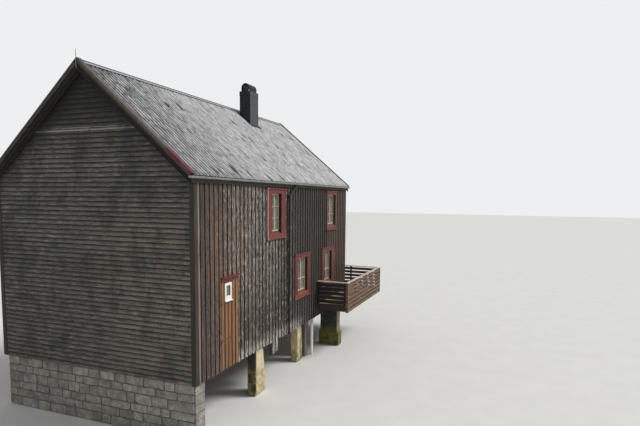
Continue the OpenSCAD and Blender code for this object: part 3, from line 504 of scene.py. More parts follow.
            mark((60, 60, 300), (0.62, 0.74), "#55585a", 0.35),
        ]),
    # hot-dipped zinc gone dull: light grey with a soft metal sheen
    "dullZinc": dict(colours="#84877f #9a9c98 #a9aba6", grainMm=(60, 400, 60), fineMm=(6, 20, 6), bumpMm=0.3,
        rough=(0.4, 0.6), metal=0.5),
    # black enamelled pipe, its gloss gone
    "blackEnamel": dict(colours="#0d0c0b #151312 #1f1c1a", grainMm=(80, 80, 400), fineMm=(8, 8, 20),
        bumpMm=0.3, rough=(0.6, 0.8)),
    # forged iron with a brown film of rust: dark, with a faint metal sheen
    "forgedIron": dict(colours="#221f1d #35302c #4b3a2f", grainMm=30, fineMm=5, bumpMm=0.5, rough=(0.55, 0.8),
        metal=0.6),
    # iron straps painted over in the colour of the door: a soft sheen
    "brownIron": dict(colours="#4a3120 #5d412b #6e5038", grainMm=30, fineMm=5, bumpMm=0.5, rough=(0.5, 0.75)),
    # the studio's pale floor: matt and even
    "studioFloor": dict(colours="#d6d5d1 #dcdbd7", grainMm=900, fineMm=900, bumpMm=0.1, rough=(0.85, 0.95)),
}
finishes = {name: finish(name, **look) for name, look in looks.items()}
dress(floor, finishes["studioFloor"])

# Old drawn window glass: thin, clear, a little wavy, its film of dust grey against the dark rooms
drawn = {
    "tint": "#939c97", "rough": 0.07, "ior": 1.5,
    "rippleMm": 340, "ripple": 0.15, "deep": 0.004, "dustMm": 600, "film": (0.42, 0.58),
}
glass = bpy.data.materials.new("drawnGlass")
tree = emptyTree(glass)
coords = addNode(tree, "TexCoord").outputs["Object"]
ripple = addNode(tree, "TexNoise", {"Scale": 1000 / drawn["rippleMm"], "Detail": 0.0}, {"Vector": coords})
bump = addNode(tree, "Bump", {"Strength": drawn["ripple"], "Distance": drawn["deep"]}, {"Height": ripple})
dust = addNode(tree, "TexNoise", {"Scale": 1000 / drawn["dustMm"], "Detail": 1.0}, {"Vector": coords})
film = addNode(tree, "MapRange", {"From Min": 0.3, "From Max": 0.7, "To Min": drawn["film"][0],
                                  "To Max": drawn["film"][1]}, {"Value": dust})
shader = addNode(tree, "BsdfPrincipled", {"Base Color": linear(drawn["tint"]), "Roughness": drawn["rough"],
                                          "IOR": drawn["ior"]}, {"Normal": bump, "Alpha": film})
addNode(tree, "OutputMaterial", {}, {"Surface": shader})
finishes["drawnGlass"] = glass

nodesOf = {
    "shadedPine": "landward_gable sea_gable left_wall right_wall right_wall_corner right_wall_at_door",
    "darkTrim": "corner_boards roof_decks fascia_boards balcony_rim",
    "sawnTimber": "floor_frame balcony_joists",
    "floorPine": "lower_floor upper_floor balcony_deck",
    "mortar": "landward_foundation",
    "ochreConcrete": "near_piers",
    "paleConcrete": "middle_piers",
    "seaConcrete": "sea_piers",
    "greyPine": "middle_posts",
    "fibreCement": "right_roof_sheets left_roof_sheets",
    "darkSheet": "ridge_cap chimney chimney_hood",
    "bargePine": "bargeboards",
    "vergePaint": "verge_boards",
    "dullZinc": "gutters ridge_spike",
    "blackEnamel": "downpipes",
    "redPaint": "window_frames door_frames door_hood",
    "creamPaint": "window_sashes",
    "whitePaint": "door_window",
    "drawnGlass": "window_panes door_pane",
    "oiledPine": "side_door balcony_door",
    "brownIron": "door_fittings",
    "forgedIron": "hinge_pins",
    "railPine": "side_railing sea_railing",
    "shadedEndRail": "end_railings",
    "paleRail": "top_rail",
}
for name, nodes in nodesOf.items():
    for node in nodes.split():
        dress(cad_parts[node], finishes[name])
print("finishes ready")

# CAD nodes whose edges are eased with live modifiers: a weld, then a bevel of the width given here
easing = {
    "weld": 0.0001, "segments": 2, "sharpest": 35,
    "widths": {
        0.003: "verge_boards window_sashes door_window",
        0.004: "bargeboards window_frames door_frames door_hood side_railing sea_railing end_railings",
        0.005: "balcony_rim balcony_joists",
        0.006: "corner_boards top_rail chimney floor_frame",
        0.01: "middle_posts",
        0.03: "near_piers middle_piers",
    },
}
for width, nodes in easing["widths"].items():
    for node in nodes.split():
        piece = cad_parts[node]
        weld = piece.modifiers.new("weld", "WELD")
        weld.merge_threshold = easing["weld"]
        bevel = piece.modifiers.new("bevel", "BEVEL")
        bevel.width = width
        bevel.segments = easing["segments"]
        bevel.limit_method = "ANGLE"
        bevel.angle_limit = math.radians(easing["sharpest"])

# Each wall's place: the turn that brings a piece drawn with +X outwards onto it, and how far out it stands
walls = {
    "right": Matrix.Translation((halfWidth, 0, 0)),
    "left": Matrix.Translation((-halfWidth, houseLength, 0)) @ Matrix.Rotation(math.pi, 4, "Z"),
    "landward": Matrix.Rotation(-math.pi / 2, 4, "Z"),
    "sea": Matrix.Translation((0, houseLength, 0)) @ Matrix.Rotation(math.pi / 2, 4, "Z"),
}

# A window's place is its middle: along y on the long sides, from the ridge line in the gable
opening = {
    "height": 1.265, "upperDown": 0.31, "lowerSill": 1.355, "head": 0.175, "apron": 0.255,
    "sides": [
        {"at": 4.59, "level": "upper", "width": 0.71, "casing": 0.32},
        {"at": houseLength - 1.97, "level": "upper", "width": 0.96, "casing": 0.13},
        {"at": houseLength - 5.15, "level": "lower", "width": 0.905, "casing": 0.25},
        {"at": houseLength - 2.38, "level": "lower", "width": 0.905, "casing": 0.25},
    ],
    "gable": [
        {"at": 1.3, "level": "upper", "width": 0.775, "casing": 0.25},
        {"at": 1.95, "level": "lower", "width": 0.905, "casing": 0.25},
    ],
    "sideDoor": {"aside": 0.012, "from": -1, "underHood": 0.01},
    "balconyDoor": {"aside": 0.12, "from": 0.5, "to": 2.65},
}
sills = {"upper": wallTop - opening["upperDown"] - opening["height"], "lower": opening["lowerSill"]}
windows = [("right", w["at"], w) for w in opening["sides"]]
windows += [("left", houseLength - w["at"], w) for w in opening["sides"]]
windows += [("sea", side * w["at"], w) for w in opening["gable"] for side in (-1, 1)]
sideDoor, balconyDoor = opening["sideDoor"], opening["balconyDoor"]
leafLow, leafHigh = houseBox("balcony_door")
seaHalf = (leafHigh.x - leafLow.x) / 2 + balconyDoor["aside"]
doorways = {
    "right": [(doorLow.y - sideDoor["aside"], doorHigh.y + sideDoor["aside"], sideDoor["from"],
               houseBox("door_hood")[1].z - sideDoor["underHood"])],
    "sea": [(-seaHalf, seaHalf, balconyDoor["from"], balconyDoor["to"])],
}


# The rectangles that a wall's boards stay out of: across from, across to, low, high
def wallBlocks(wall):
    blocks = []
    for name, at, window in windows:
        if name == wall:
            half = window["width"] / 2 + window["casing"]
            sill = sills[window["level"]]
            top = sill + opening["height"] + opening["head"]
            blocks.append((at - half, at + half, sill - opening["apron"], top))
    return blocks + doorways.get(wall, [])


# Boards reach this far behind the casings, and none is left shorter or narrower than the least
bite, least = 0.02, 0.03


# The stretches of a run that no block takes
def freeStretches(start, end, taken):
    stretches = [(start, end)]
    for low, high in taken:
        parts = [part for a, b in stretches for part in ((a, min(b, low + bite)), (max(a, high - bite), b))]
        stretches = [(a, b) for a, b in parts if b - a > least]
    return stretches


# The long walls' upright boards, in two layers. Hanging is the stretch and the lower end of some long ones
boarding = {
    "pitch": 0.233, "width": 0.158, "uneven": 0.006, "apartBehind": 0.02, "thickness": 0.022, "outer": 0.98,
    "foot": 0.012, "ragged": 0.016, "split": 0.02, "splits": 30, "lean": 0.0025, "bend": 0.003,
    "cornerLeg": 0.099, "soffitDown": 0.038, "doorGap": 0.006, "hanging": (4.3, 4.8, -0.43), "hangLess": 0.05,
    "seed": 41,
}
nailing = {
    "radius": 0.0055, "depth": 0.004, "out": 0.0005, "rim": 0.35, "dome": 0.0006, "rows": 0.85, "end": 0.09,
    "across": 0.3, "stray": (0.006, 0.02), "sunk": 0.001,
}
chance = random.Random(boarding["seed"])
vary = chance.uniform
cornerLeg = boarding["cornerLeg"]
soffit = wallTop - boarding["soffitDown"]

# One upright board, 1 m long: cut along its length, its long edges eased and its lower end split
uprightBoard = block("uprightBoard", (0, -0.5, 0), (1, 0.5, 1))
shape(uprightBoard, "EDGE", lambda a, b: along(a, b, 1), bpy.ops.mesh.subdivide, number_cuts=4)
shape(uprightBoard, "EDGE", lambda a, b: along(a, b, 2), bpy.ops.mesh.subdivide, number_cuts=5)
shape(uprightBoard, "EDGE", lambda a, b: along(a, b, 2) and a.x > 0.9 and abs(a.y) > 0.45, bpy.ops.mesh.bevel,
      offset=0.03, segments=1)

# One domed nail head, its shaft end hidden in the wood
nail = added(bpy.ops.mesh.primitive_cylinder_add, vertices=8, radius=nailing["radius"],
             depth=nailing["depth"], location=(0, 0, nailing["out"]))
shape(nail, "FACE", lambda c, n: n.z > 0.9, bpy.ops.mesh.inset, thickness=nailing["radius"] * nailing["rim"])
shape(nail, "FACE", lambda c, n: n.z > 0.9 and c.length < nailing["radius"] / 2, bpy.ops.transform.translate,
      value=(0, 0, nailing["dome"]))
nail.data.transform(Matrix.Rotation(math.pi / 2, 4, "Y"))
nails = []


# Two nails side by side in each row of one board
def nailBoard(wall, low, high, bottom, head):
    rows = max(2, round((head - bottom) / nailing["rows"]))
    run = head - bottom - 2 * nailing["end"]
    across, up = nailing["stray"]
    for row in range(rows):
        z = bottom + nailing["end"] + run * row / (rows - 1) + vary(-up, up)
        for side in (-1, 1):
            y = (low + high) / 2 + side * (high - low) * nailing["across"] + vary(-across, across)
            place = Matrix.Translation((2 * boarding["thickness"] - nailing["sunk"], y, z))
            copyOf(nail, walls[wall] @ place, nails)


# One stretch of a board. Its lower end is split where it is the foot, and only the outer layer's boards bend
def layBoard(wall, low, high, bottom, head, layer, isFoot, copies):
    thickness = boarding["thickness"]
    size = Matrix.Diagonal((thickness * (boarding["outer"] if layer else 1), high - low, head - bottom, 1))
    board = copyOf(uprightBoard, size, copies)
    lean = vary(-boarding["lean"], boarding["lean"])
    phase = vary(0, 50)
    for v in board.data.vertices:
        share = v.co.z / (head - bottom)
        ragged = 0
        if isFoot and share < 0.01:
            ragged = boarding["split"] * noise.noise((v.co.y * boarding["splits"] + phase, phase, 0))
        bend = boarding["bend"] * noise.noise((phase, share * 3, 1))
        v.co.x += thickness * layer + (bend if layer else 0)
        v.co.y += (low + high) / 2 + lean * share
        v.co.z += bottom + ragged
    board.data.transform(walls[wall])
    if layer:
        nailBoard(wall, low, high, bottom, head)


def uprightBoards(name, wall, start, end, hangs=()):
    over, under = [], []
    blocks = wallBlocks(wall)
    count = round((end - start) / boarding["pitch"])
    pitch = (end - start) / count
    for i in range(count + 1):
        for layer, copies in ((0, under), (1, over)):
            middle = start + pitch * (i + 0.5 * (1 - layer))
            width = pitch - boarding["apartBehind"]
            if layer:
                width = boarding["width"] + vary(-boarding["uneven"], boarding["uneven"])
            low, high = max(start, middle - width / 2), min(end, middle + width / 2)
            if high - low < least:
                continue
            taken = [(b[2], b[3]) for b in blocks if b[0] < low + bite and b[1] > high - bite]
            foot = vary(-boarding["ragged"], boarding["ragged"]) + boarding["foot"]
            for a, b, drop in hangs:
                if a < middle < b:
                    foot = drop + vary(0, boarding["hangLess"])
            for bottom, head in freeStretches(foot, soffit, taken):
                layBoard(wall, low, high, bottom, head, layer, bottom == foot, copies)
    return joined(name, over), joined(name + "_behind", under)


# The boards on each side of the doorway end at it, so the right wall is boarded in three lengths
doorStart, doorEnd = doorLow.y - boarding["doorGap"], doorHigh.y + boarding["doorGap"]
wallEnd = houseLength - cornerLeg
pieces = [
    uprightBoards("corner_boards", "right", cornerLeg, doorStart),
    uprightBoards("over_door_boards", "right", doorStart, doorEnd),
    uprightBoards("right_boards", "right", doorEnd, wallEnd, [boarding["hanging"]]),
    uprightBoards("left_boards", "left", cornerLeg, wallEnd),
]
for over, under in pieces:
    settle(over, finishes["weatheredPine"])
    settle(under, finishes["shadedPine"])
bpy.data.objects.remove(uprightBoard)
settle(joined("wall_nails", nails, nail), finishes["forgedIron"])
print("wall boards done")

# The gables' lap boards. Foot is how far out a board's faces stand at its lower edge, and head how much less
# they do at its upper one. Open has heights on the part that shows, each with its share of painted shadow
lapping = {
    "lap": 0.132, "cover": 0.034, "foot": (0.018, 0.044), "head": 0.016, "longest": 4.6, "shortest": 2.4,
    "last": 0.8, "gap": 0.003, "warp": 0.002, "underDeck": 0.002, "vergeShadeWide": 0.6, "vergeShade": (0.75, 0.5),
    "open": ((0.0, 0.0), (0.05, 0.0), (0.092, 0.55)), "closed": 0.008, "closedShade": 0.95,
}
lap, lapWhole = lapping["lap"], lapping["lap"] + lapping["cover"]
# Painted shadow: each board darkens towards its top, darkest just under the next board's lower edge
steps = (*lapping["open"], (lap - lapping["closed"], lapping["closedShade"]), (lapWhole, 1.0))
lapBoard = block("lapBoard", (lapping["foot"][0], 0, 0), (lapping["foot"][1], 1, lapWhole))
shape(lapBoard, "VERT", lambda v: v.z > lap / 2, bpy.ops.transform.translate, value=(-lapping["head"], 0, 0))
shape(lapBoard, "EDGE", lambda a, b: along(a, b, 1), bpy.ops.mesh.subdivide, number_cuts=11)
shape(lapBoard, "EDGE", lambda a, b: along(a, b, 2), bpy.ops.mesh.subdivide, number_cuts=3)
paintShade(lapBoard, lambda co, old: steps[round(4 * co.z / lapWhole)][1])
for v in lapBoard.data.vertices:
    v.co.z = steps[round(4 * v.co.z / lapWhole)][0]


# Painted shade: the boards are dark close under the verge, where its shadow falls, more so on one side
def underVergeShade(co, old):
    away = (ridgeUnder - co.z) * math.cos(slope) - abs(co.y) * math.sin(slope)
    return max(old, lapping["vergeShade"][co.y >= 0] * max(0.0, 1 - away / lapping["vergeShadeWide"]))


def lapBoards(name, wall):
    copies = []
    warp = lapping["warp"]
    for row in range(math.ceil(ridgeUnder / lap)):
        low = row * lap
        half = min(halfWidth - cornerLeg, halfWidth - (low - wallTop) / math.tan(slope))
        taken = [(b[0], b[1]) for b in wallBlocks(wall) if b[2] < low + bite and b[3] > low + lap - bite]
        for start, end in freeStretches(-half, half, taken):
            at = start
            while at < end - least:
                length = min(vary(lapping["shortest"], lapping["longest"]), end - at)
                if end - at - length < lapping["last"]:
                    length = end - at
                board = copyOf(lapBoard, Matrix.Diagonal((1, length - lapping["gap"], 1, 1)), copies)
                phase = vary(0, 90)
                sag = vary(-warp, warp)
                for v in board.data.vertices:
                    share = v.co.y / length
                    v.co.x += warp * noise.noise((phase, share * 5, 0))
                    v.co.z += low + sag + warp * noise.noise((share * 4, phase, 3))
                    v.co.y += at
                at += length
    piece = joined(name, copies)
    for side in (-1, 1):
        shape(piece, "FACE", lambda c, n: True, bpy.ops.mesh.bisect,
              plane_co=(0, side * halfWidth, wallTop - lapping["underDeck"]),
              plane_no=(0, side * math.sin(slope), math.cos(slope)), use_fill=True, clear_outer=True)
    paintShade(piece, underVergeShade)
    piece.data.transform(walls[wall])
    settle(piece, finishes["tarredPine"])


lapBoards("landward_gable_boards", "landward")
lapBoards("sea_gable_boards", "sea")
bpy.data.objects.remove(lapBoard)
print("gable boards done")

# The roof's sheets, lapped down the slope and along it. Each is tilted enough to lie on the next one down
roofing = {
    "deck": 0.1253, "wave": 0.146, "height": 0.05, "thickness": 0.007, "waves": 7, "sideLap": 0.3, "rows": 4,
    "lap": 0.15, "segments": 8, "over": 0.001, "loose": 0.0015, "turnLift": 0.0008, "slip": 0.006, "seed": 12,
}
screwing = {
    "washer": 0.015, "depth": 0.004, "rim": 0.006, "head": 0.007, "up": 0.06, "waves": (0, 2, 4, 6),
    "end": 0.03,
}
# Shares of shade: darker in the troughs, painted shade on one flank of each wave, grime along a sheet's
# lower edge, and a low and a high spot on each sheet. All but the spots grow darker towards the landward end
dirtAndShade = {
    "edge": 0.2, "edgeWide": 0.1, "flank": 0.28, "trough": 0.4, "hollow": 1.5, "landward": 0.95,
    "landwardWide": 3.6,
    "low": {"amount": (-0.2, 1.6), "up": (0.06, 0.35), "waves": (0.2, 3.0), "wide": (0.2, 0.08),
            "reach": 1.4},
    "high": {"amount": (-0.7, 1.1), "down": (0.15, 0.8), "across": (0.2, 0.9), "wide": (0.16, 0.08),
             "reach": 1.2},
}
wave, sheetHeight, sheetThick = roofing["wave"], roofing["height"], roofing["thickness"]
verge = -houseBox("roof_decks")[0].y
slopeFrame = Matrix.Translation((0, 0, ridgeUnder)) @ Matrix.Rotation(slope, 4, "Y")
otherSlope = Matrix.Translation((0, houseLength, 0)) @ Matrix.Rotation(math.pi, 4, "Z") @ slopeFrame
# The lower corner of the sheets' box is the lower face of a sheet at the eaves
boxLow, boxHigh = houseBox("right_roof_sheets")
eaves = (slopeFrame.inverted() @ Vector((boxHigh.x, 0, boxLow.z))).x
sheetLength = (eaves + (roofing["rows"] - 1) * roofing["lap"]) / roofing["rows"]
sheetWidth = wave * (roofing["waves"] + roofing["sideLap"])
sheet = added(bpy.ops.mesh.primitive_grid_add, x_subdivisions=8,
              y_subdivisions=int(roofing["segments"] * sheetWidth / wave), size=1)
for v in sheet.data.vertices:
    v.co.x = (v.co.x + 0.5) * sheetLength
    v.co.y = (v.co.y + 0.5) * sheetWidth
    v.co.z = sheetHeight * (1 - math.cos(2 * math.pi * v.co.y / wave)) / 2
modify(sheet, "SOLIDIFY", thickness=sheetThick, offset=-1)


# Grime along the lower edge, darker towards the bottom of each trough, and painted shade on one flank of each
# wave
def edgeAndWaveShade(co, old):
    edge = max(0.0, 1 - (sheetLength - co.x) / dirtAndShade["edgeWide"]) * dirtAndShade["edge"]
    flank = dirtAndShade["flank"] * max(0.0, math.sin(2 * math.pi * co.y / wave))
    return max(edge, flank + dirtAndShade["trough"] * (1 - co.z / sheetHeight) ** dirtAndShade["hollow"])


paintShade(sheet, edgeAndWaveShade)

# One roof screw: a washer with a round head
screw = added(bpy.ops.mesh.primitive_cylinder_add, vertices=10, radius=screwing["washer"],
              depth=screwing["depth"], location=(0, 0, screwing["depth"] / 2))
shape(screw, "FACE", lambda c, n: n.z > 0.9, bpy.ops.mesh.inset, thickness=screwing["rim"])
shape(screw, "FACE", lambda c, n: n.z > 0.9 and c.length < screwing["washer"] / 3,
      bpy.ops.mesh.extrude_region_move, TRANSFORM_OT_translate={"value": (0, 0, screwing["head"])})


def spotShade(co, spot, amount, at):
    away = Vector(((at[0] - co.x) / spot["wide"][0], (co.y - at[1]) / spot["wide"][1])).length
    return amount * max(0, spot["reach"] - away)


chance.seed(roofing["seed"])
coverLength = houseLength + 2 * verge
step = wave * roofing["waves"]
tilt = (sheetThick + roofing["over"]) / sheetLength
low, high = dirtAndShade["low"], dirtAndShade["high"]
for name, place in (("right_roof", slopeFrame), ("left_roof", otherSlope)):
    sheets, screws = [], []
    for row in range(roofing["rows"]):
        down = row * (sheetLength - roofing["lap"])
        for i in range(math.ceil(coverLength / step)):
            copy = copyOf(sheet, Matrix.Identity(4), sheets)
            lift = vary(0, roofing["loose"]) + roofing["turnLift"] * (i % 2)
            lowAmount = max(0, vary(*low["amount"]))
            lowAt = (sheetLength - vary(*low["up"]), vary(*low["waves"]) * wave)
            highAt = (vary(*high["down"]) * sheetLength, vary(*high["across"]) * sheetWidth)
            highAmount = max(0, vary(*high["amount"]))
            slip = vary(-roofing["slip"], roofing["slip"]) if row < roofing["rows"] - 1 else 0
            for v, shade in zip(copy.data.vertices, copy.data.attributes["shade"].data):
                end = v.co.y + i * step if place is slopeFrame else coverLength - v.co.y - i * step
                # Troughs, flank shade and edge grime grow darker towards the landward end
                landwardDarker = 1 + dirtAndShade["landward"] * max(0, 1 - end / dirtAndShade["landwardWide"])
                spots = max(spotShade(v.co, low, lowAmount, lowAt), spotShade(v.co, high, highAmount, highAt))
                shade.value = min(1.0, max(landwardDarker * shade.value, spots))
                v.co.z += roofing["deck"] + sheetThick + tilt * v.co.x + lift
                v.co.x += down + (slip if v.co.x > sheetLength / 2 else 0)
                v.co.y = min(v.co.y + i * step, coverLength) - verge
            for crest in screwing["waves"]:
                y = (crest + 0.5) * wave + i * step
                if y <= coverLength - screwing["end"]:
                    x = down + sheetLength - screwing["up"]
                    top = roofing["deck"] + sheetHeight + 2 * sheetThick + lift
                    copyOf(screw, Matrix.Translation((x, y - verge, top)), screws)
    cover = joined(name + "_cover", sheets)
    cover.data.transform(place)
    settle(cover, finishes["fibreCement"], stands=[name + "_sheets"])
    activate(cover)
    bpy.ops.object.shade_smooth_by_angle(angle=math.radians(40))
    fixings = joined(name + "_screws", screws)
    fixings.data.transform(place)
    settle(fixings, finishes["dullZinc"])
bpy.data.objects.remove(sheet)
bpy.data.objects.remove(screw)
print("roof done")

# The windows' bars: two across an upper casement, and one thicker one across a lower
bars = {
    "width": 0.024, "depth": 0.03, "rail": 0.052, "post": 0.06, "in": 0.05, "tuck": 0.006, "transom": 0.05,
    "transomUp": 0.465,
}
bar = block("bar", (-0.5, -0.5, -0.5), (0.5, 0.5, 0.5))
shape(bar, "EDGE", lambda a, b: along(a, b, 1) and a.x > 0, bpy.ops.mesh.bevel, offset=0.2, segments=2)
copies = []
for wall, at, window in windows:
    sill, height = sills[window["level"]], opening["height"]
    pane = (window["width"] - 2 * bars["rail"] - bars["post"]) / 2
    if window["level"] == "upper":
        heights = [(height - 2 * bars["rail"]) * k / 3 + bars["rail"] for k in (1, 2)]
        thick = bars["width"]
    else:
        heights, thick = [bars["transomUp"]], bars["transom"]
    for side in (-1, 1):
        for z in heights:
            place = (-bars["in"], at + side * (pane + bars["post"]) / 2, sill + z)
            size = (bars["depth"], pane + bars["tuck"], thick)
            copyOf(bar, walls[wall] @ placed(place, size), copies)
settle(joined("window_bars", copies, bar), finishes["creamPaint"])
print("window bars done")

# The side door's leaf: boards over a backing, on ledges, cut through for its glass
door = {
    "depth": 0.039, "backing": 0.017, "boards": 5, "gap": 0.03, "pad": 0.0015, "backs": 4, "backGap": 0.001,
    "dirtAndShade": 0.75, "glassGap": 0.0003, "through": 0.2, "ledge": 0.12, "ledgeIn": 0.04,
    "strap": 0.045, "strapDown": 0.02, "casing": 0.13, "casingLap": 0.024,
}
leafBoard = block("leafBoard", (0, -0.5, 0), (1, 0.5, 1))
shape(leafBoard, "EDGE", lambda a, b: along(a, b, 1), bpy.ops.mesh.subdivide, number_cuts=3)
shape(leafBoard, "EDGE", lambda a, b: along(a, b, 2) and a.x > 0.9 and abs(a.y) > 0.45, bpy.ops.mesh.bevel,
      offset=0.04, segments=2)
# Painted shade darkens a board's long edges, and all of the backing that shows in the gaps
paintShade(leafBoard, lambda co, old: door["dirtAndShade"] * (abs(co.y) > 0.4))
glassLow, glassHigh = houseBox("door_pane")
inner = doorHigh.x - door["depth"]
tall = doorHigh.z - doorLow.z
leafPitch = (doorHigh.y - doorLow.y + door["gap"]) / door["boards"]
boards = []
for i in range(door["boards"]):
    y = doorLow.y + leafPitch * (i + 0.5) - door["gap"] / 2
    size = (door["depth"] - door["backing"] - door["pad"], leafPitch - door["gap"], tall)
    copyOf(leafBoard, placed((inner + door["backing"], y, doorLow.z), size), boards)
wide = (doorHigh.y - doorLow.y) / door["backs"]
for i in range(door["backs"]):
    place = (inner, doorLow.y + wide * (i + 0.5), doorLow.z)
    backing = copyOf(leafBoard, placed(place, (door["backing"], wide - door["backGap"], tall)), boards)
    # Painted shade: the backing's outer face, seen in the gaps, is dark
    paintShade(backing, lambda co, old: float(co.x > inner + door["backing"] / 2))
cut = Vector((door["through"], door["glassGap"], door["glassGap"]))
cutter = block("cutter", glassLow - cut, glassHigh + cut)
for piece in boards:
    across = [v.co.y for v in piece.data.vertices]
    if min(across) < glassHigh.y and max(across) > glassLow.y:
        modify(piece, "BOOLEAN", operation="DIFFERENCE", object=cutter, solver="EXACT")
leaf = joined("door_boards", boards)
bpy.data.objects.remove(cutter)
# A ledge stands behind each strap, and the top strap stands just under the glass's casing
strapLow = houseBox("door_fittings")[0].z
strapHigh = glassLow.z - door["casing"] - door["casingLap"] - door["strap"] - door["strapDown"]
ledges = []
for z in (strapLow, (strapLow + strapHigh) / 2, strapHigh):
    place = (doorLow.x, (doorLow.y + doorHigh.y) / 2, z + (door["strap"] - door["ledge"]) / 2)
    size = (inner - doorLow.x, doorHigh.y - doorLow.y - 2 * door["ledgeIn"], door["ledge"])
    copyOf(leafBoard, placed(place, size), ledges)
settle(leaf, finishes["oiledPine"], "door", ["side_door"])
settle(joined("door_ledges", ledges, leafBoard), finishes["oiledPine"], "door")
print("side door done")

# Piers: cast roughly, so their faces wander and their edges are worn
cast = {"voxel": 0.045, "wander": 0.022, "size": 0.22, "inwards": 0.9, "worn": 2, "wear": 0.5}
rough = bpy.data.textures.new("roughCast", "CLOUDS")
rough.noise_scale = cast["size"]
for node in ("near_piers", "middle_piers", "sea_piers"):
    for kind, settings in (
        ("REMESH", {"mode": "VOXEL", "voxel_size": cast["voxel"]}),
        ("DISPLACE", {"texture": rough, "strength": cast["wander"], "mid_level": cast["inwards"]}),
        ("SMOOTH", {"iterations": cast["worn"], "factor": cast["wear"]}),
    ):
        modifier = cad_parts[node].modifiers.new(kind.lower(), kind)
        for key, value in settings.items():
            setattr(modifier, key, value)

# The foundation wall: rubble laid in rough courses over the mortar, on all four faces
rubble = {
    "gap": 0.022, "rows": 6, "uneven": 0.2, "footUp": 0.002, "topDown": 0.01, "shortest": 0.28,
    "longest": 0.72, "last": 0.7, "deep": 0.16, "proud": 0.028, "set": 0.012, "ball": 0.72, "round": 0.22,
    "shrink": 0.98, "wander": 0.02, "wanders": 5, "seed": 77,
}
stone = block("stone", (-0.5, -0.5, -0.5), (0.5, 0.5, 0.5))
shape(stone, "FACE", lambda c, n: True, bpy.ops.mesh.subdivide, number_cuts=4)
chance.seed(rubble["seed"])
wallLow, wallHigh = houseBox("landward_foundation")
wallMid, wallSize = (wallLow + wallHigh) / 2, wallHigh - wallLow
faces = [  # the middle of a face, its length, and the turn that brings +X outwards
    ((0, wallLow.y), wallSize.x, -90), ((0, wallHigh.y), wallSize.x, 90),
    ((wallHigh.x, wallMid.y), wallSize.y, 0), ((wallLow.x, wallMid.y), wallSize.y, 180),
]
stones = []


# Rounds a stone's corners, lets its faces wander, and keeps it inside its own place in the wall
def roughen(v, size, middle, phase):
    co = v.co.lerp(v.co.normalized() * rubble["ball"], rubble["round"]) * rubble["shrink"]
    co = Vector([c * s for c, s in zip(co, size)])
    shifts = [noise.noise(co * rubble["wanders"] + phase + Vector((k * 9, 0, 0))) for k in range(3)]
    co += rubble["wander"] * Vector(shifts)
    sides = [max(-s / 2, min(s / 2, c)) for c, s in zip(co.yz, size.yz)]
    v.co = middle + Vector((min(co.x, rubble["deep"] / 2), *sides))


for (x, y), length, turn in faces:
    cuts = [0.0]
    for row in range(rubble["rows"]):
        cuts.append(cuts[-1] + vary(1 - rubble["uneven"], 1 + rubble["uneven"]))
    foot = ground + rubble["footUp"]
    heights = [foot - (foot + rubble["topDown"]) * c / cuts[-1] for c in cuts]
    for low, high in zip(heights, heights[1:]):
        at = -length / 2
        while at < length / 2 - least:
            long = min(vary(rubble["shortest"], rubble["longest"]), length / 2 - at)
            if length / 2 - at - long < rubble["shortest"] * rubble["last"]:
                long = length / 2 - at
            size = Vector((rubble["deep"], long - rubble["gap"], high - low - rubble["gap"]))
            out = rubble["proud"] - rubble["deep"] / 2 - vary(0, rubble["set"])
            piece = copyOf(stone, Matrix.Identity(4), stones)
            phase = Vector([vary(0, 60) for _ in range(3)])
            for v in piece.data.vertices:
                roughen(v, size, Vector((out, at + long / 2, (low + high) / 2)), phase)
            piece.data.transform(Matrix.Translation((x, y, 0)) @ Matrix.Rotation(math.radians(turn), 4, "Z"))
            at += long
rubbleWall = joined("foundation_stones", stones, stone)
activate(rubbleWall)
bpy.ops.object.shade_smooth_by_angle(angle=math.radians(50))
settle(rubbleWall, finishes["fieldstone"])
print("foundation and piers done")

# Gutter brackets and joints: straps bent round the half-round gutter
gutter = {
    "radius": 0.055, "clear": 0.0005, "strap": 0.0025, "width": 0.022, "pitch": 0.66, "over": 0.15,
    "joint": 0.06, "firstJoint": 2.9, "jointPitch": 3.0, "joints": 3,
}
hoop = added(bpy.ops.mesh.primitive_cylinder_add, vertices=32, radius=gutter["radius"] + gutter["clear"],
             depth=1, end_fill_type="NOTHING")
shape(hoop, "VERT", lambda v: v.y > 0.001, bpy.ops.mesh.delete, type="VERT")
modify(hoop, "SOLIDIFY", thickness=gutter["strap"], offset=1)
hoop.data.transform(Matrix.Rotation(math.pi / 2, 4, "X"))
gutterHigh = houseBox("gutters")[1]
rimX, rimZ = gutterHigh.x - gutter["radius"], gutterHigh.z
gutterLength = houseLength + 2 * gutter["over"]
count = int(gutterLength / gutter["pitch"])
places = [(gutter["width"], -gutter["over"] + gutterLength * i / count) for i in range(count + 1)]
for i in range(gutter["joints"]):
    places.append((gutter["joint"], gutter["firstJoint"] + gutter["jointPitch"] * i))
straps = []
for side in (-1, 1):
    for width, y in places:
        copyOf(hoop, placed((side * rimX, y, rimZ), (1, width, 1)), straps)
for piece in straps:
    for v in piece.data.vertices:
        v.co.z = min(v.co.z, rimZ)
settle(joined("gutter_straps", straps, hoop), finishes["dullZinc"])

# The chimney's folded seams and the sheet flashing where it meets the roof
stack = {
    "in": 0.018, "topDown": 0.18, "seam": 0.012, "seamOut": 0.005, "seamDown": (0.33, 0.66), "corner": 0.009,
    "cornerFrom": 0.2, "upstand": 0.13, "upstandIn": 0.02, "upstandOut": 0.008, "flash": 0.13, "sheet": 0.003,
    "clear": 0.003, "edge": 0.002,
}
stackLow, stackHigh = houseBox("chimney")
inside = Vector((stack["in"], stack["in"], 0))
(x0, y0, _), (x1, y1, _) = stackLow + inside, stackHigh - inside
top = stackHigh.z - stack["topDown"]


def roofAt(x, up):
    return ridgeUnder - abs(x) * math.tan(slope) + up


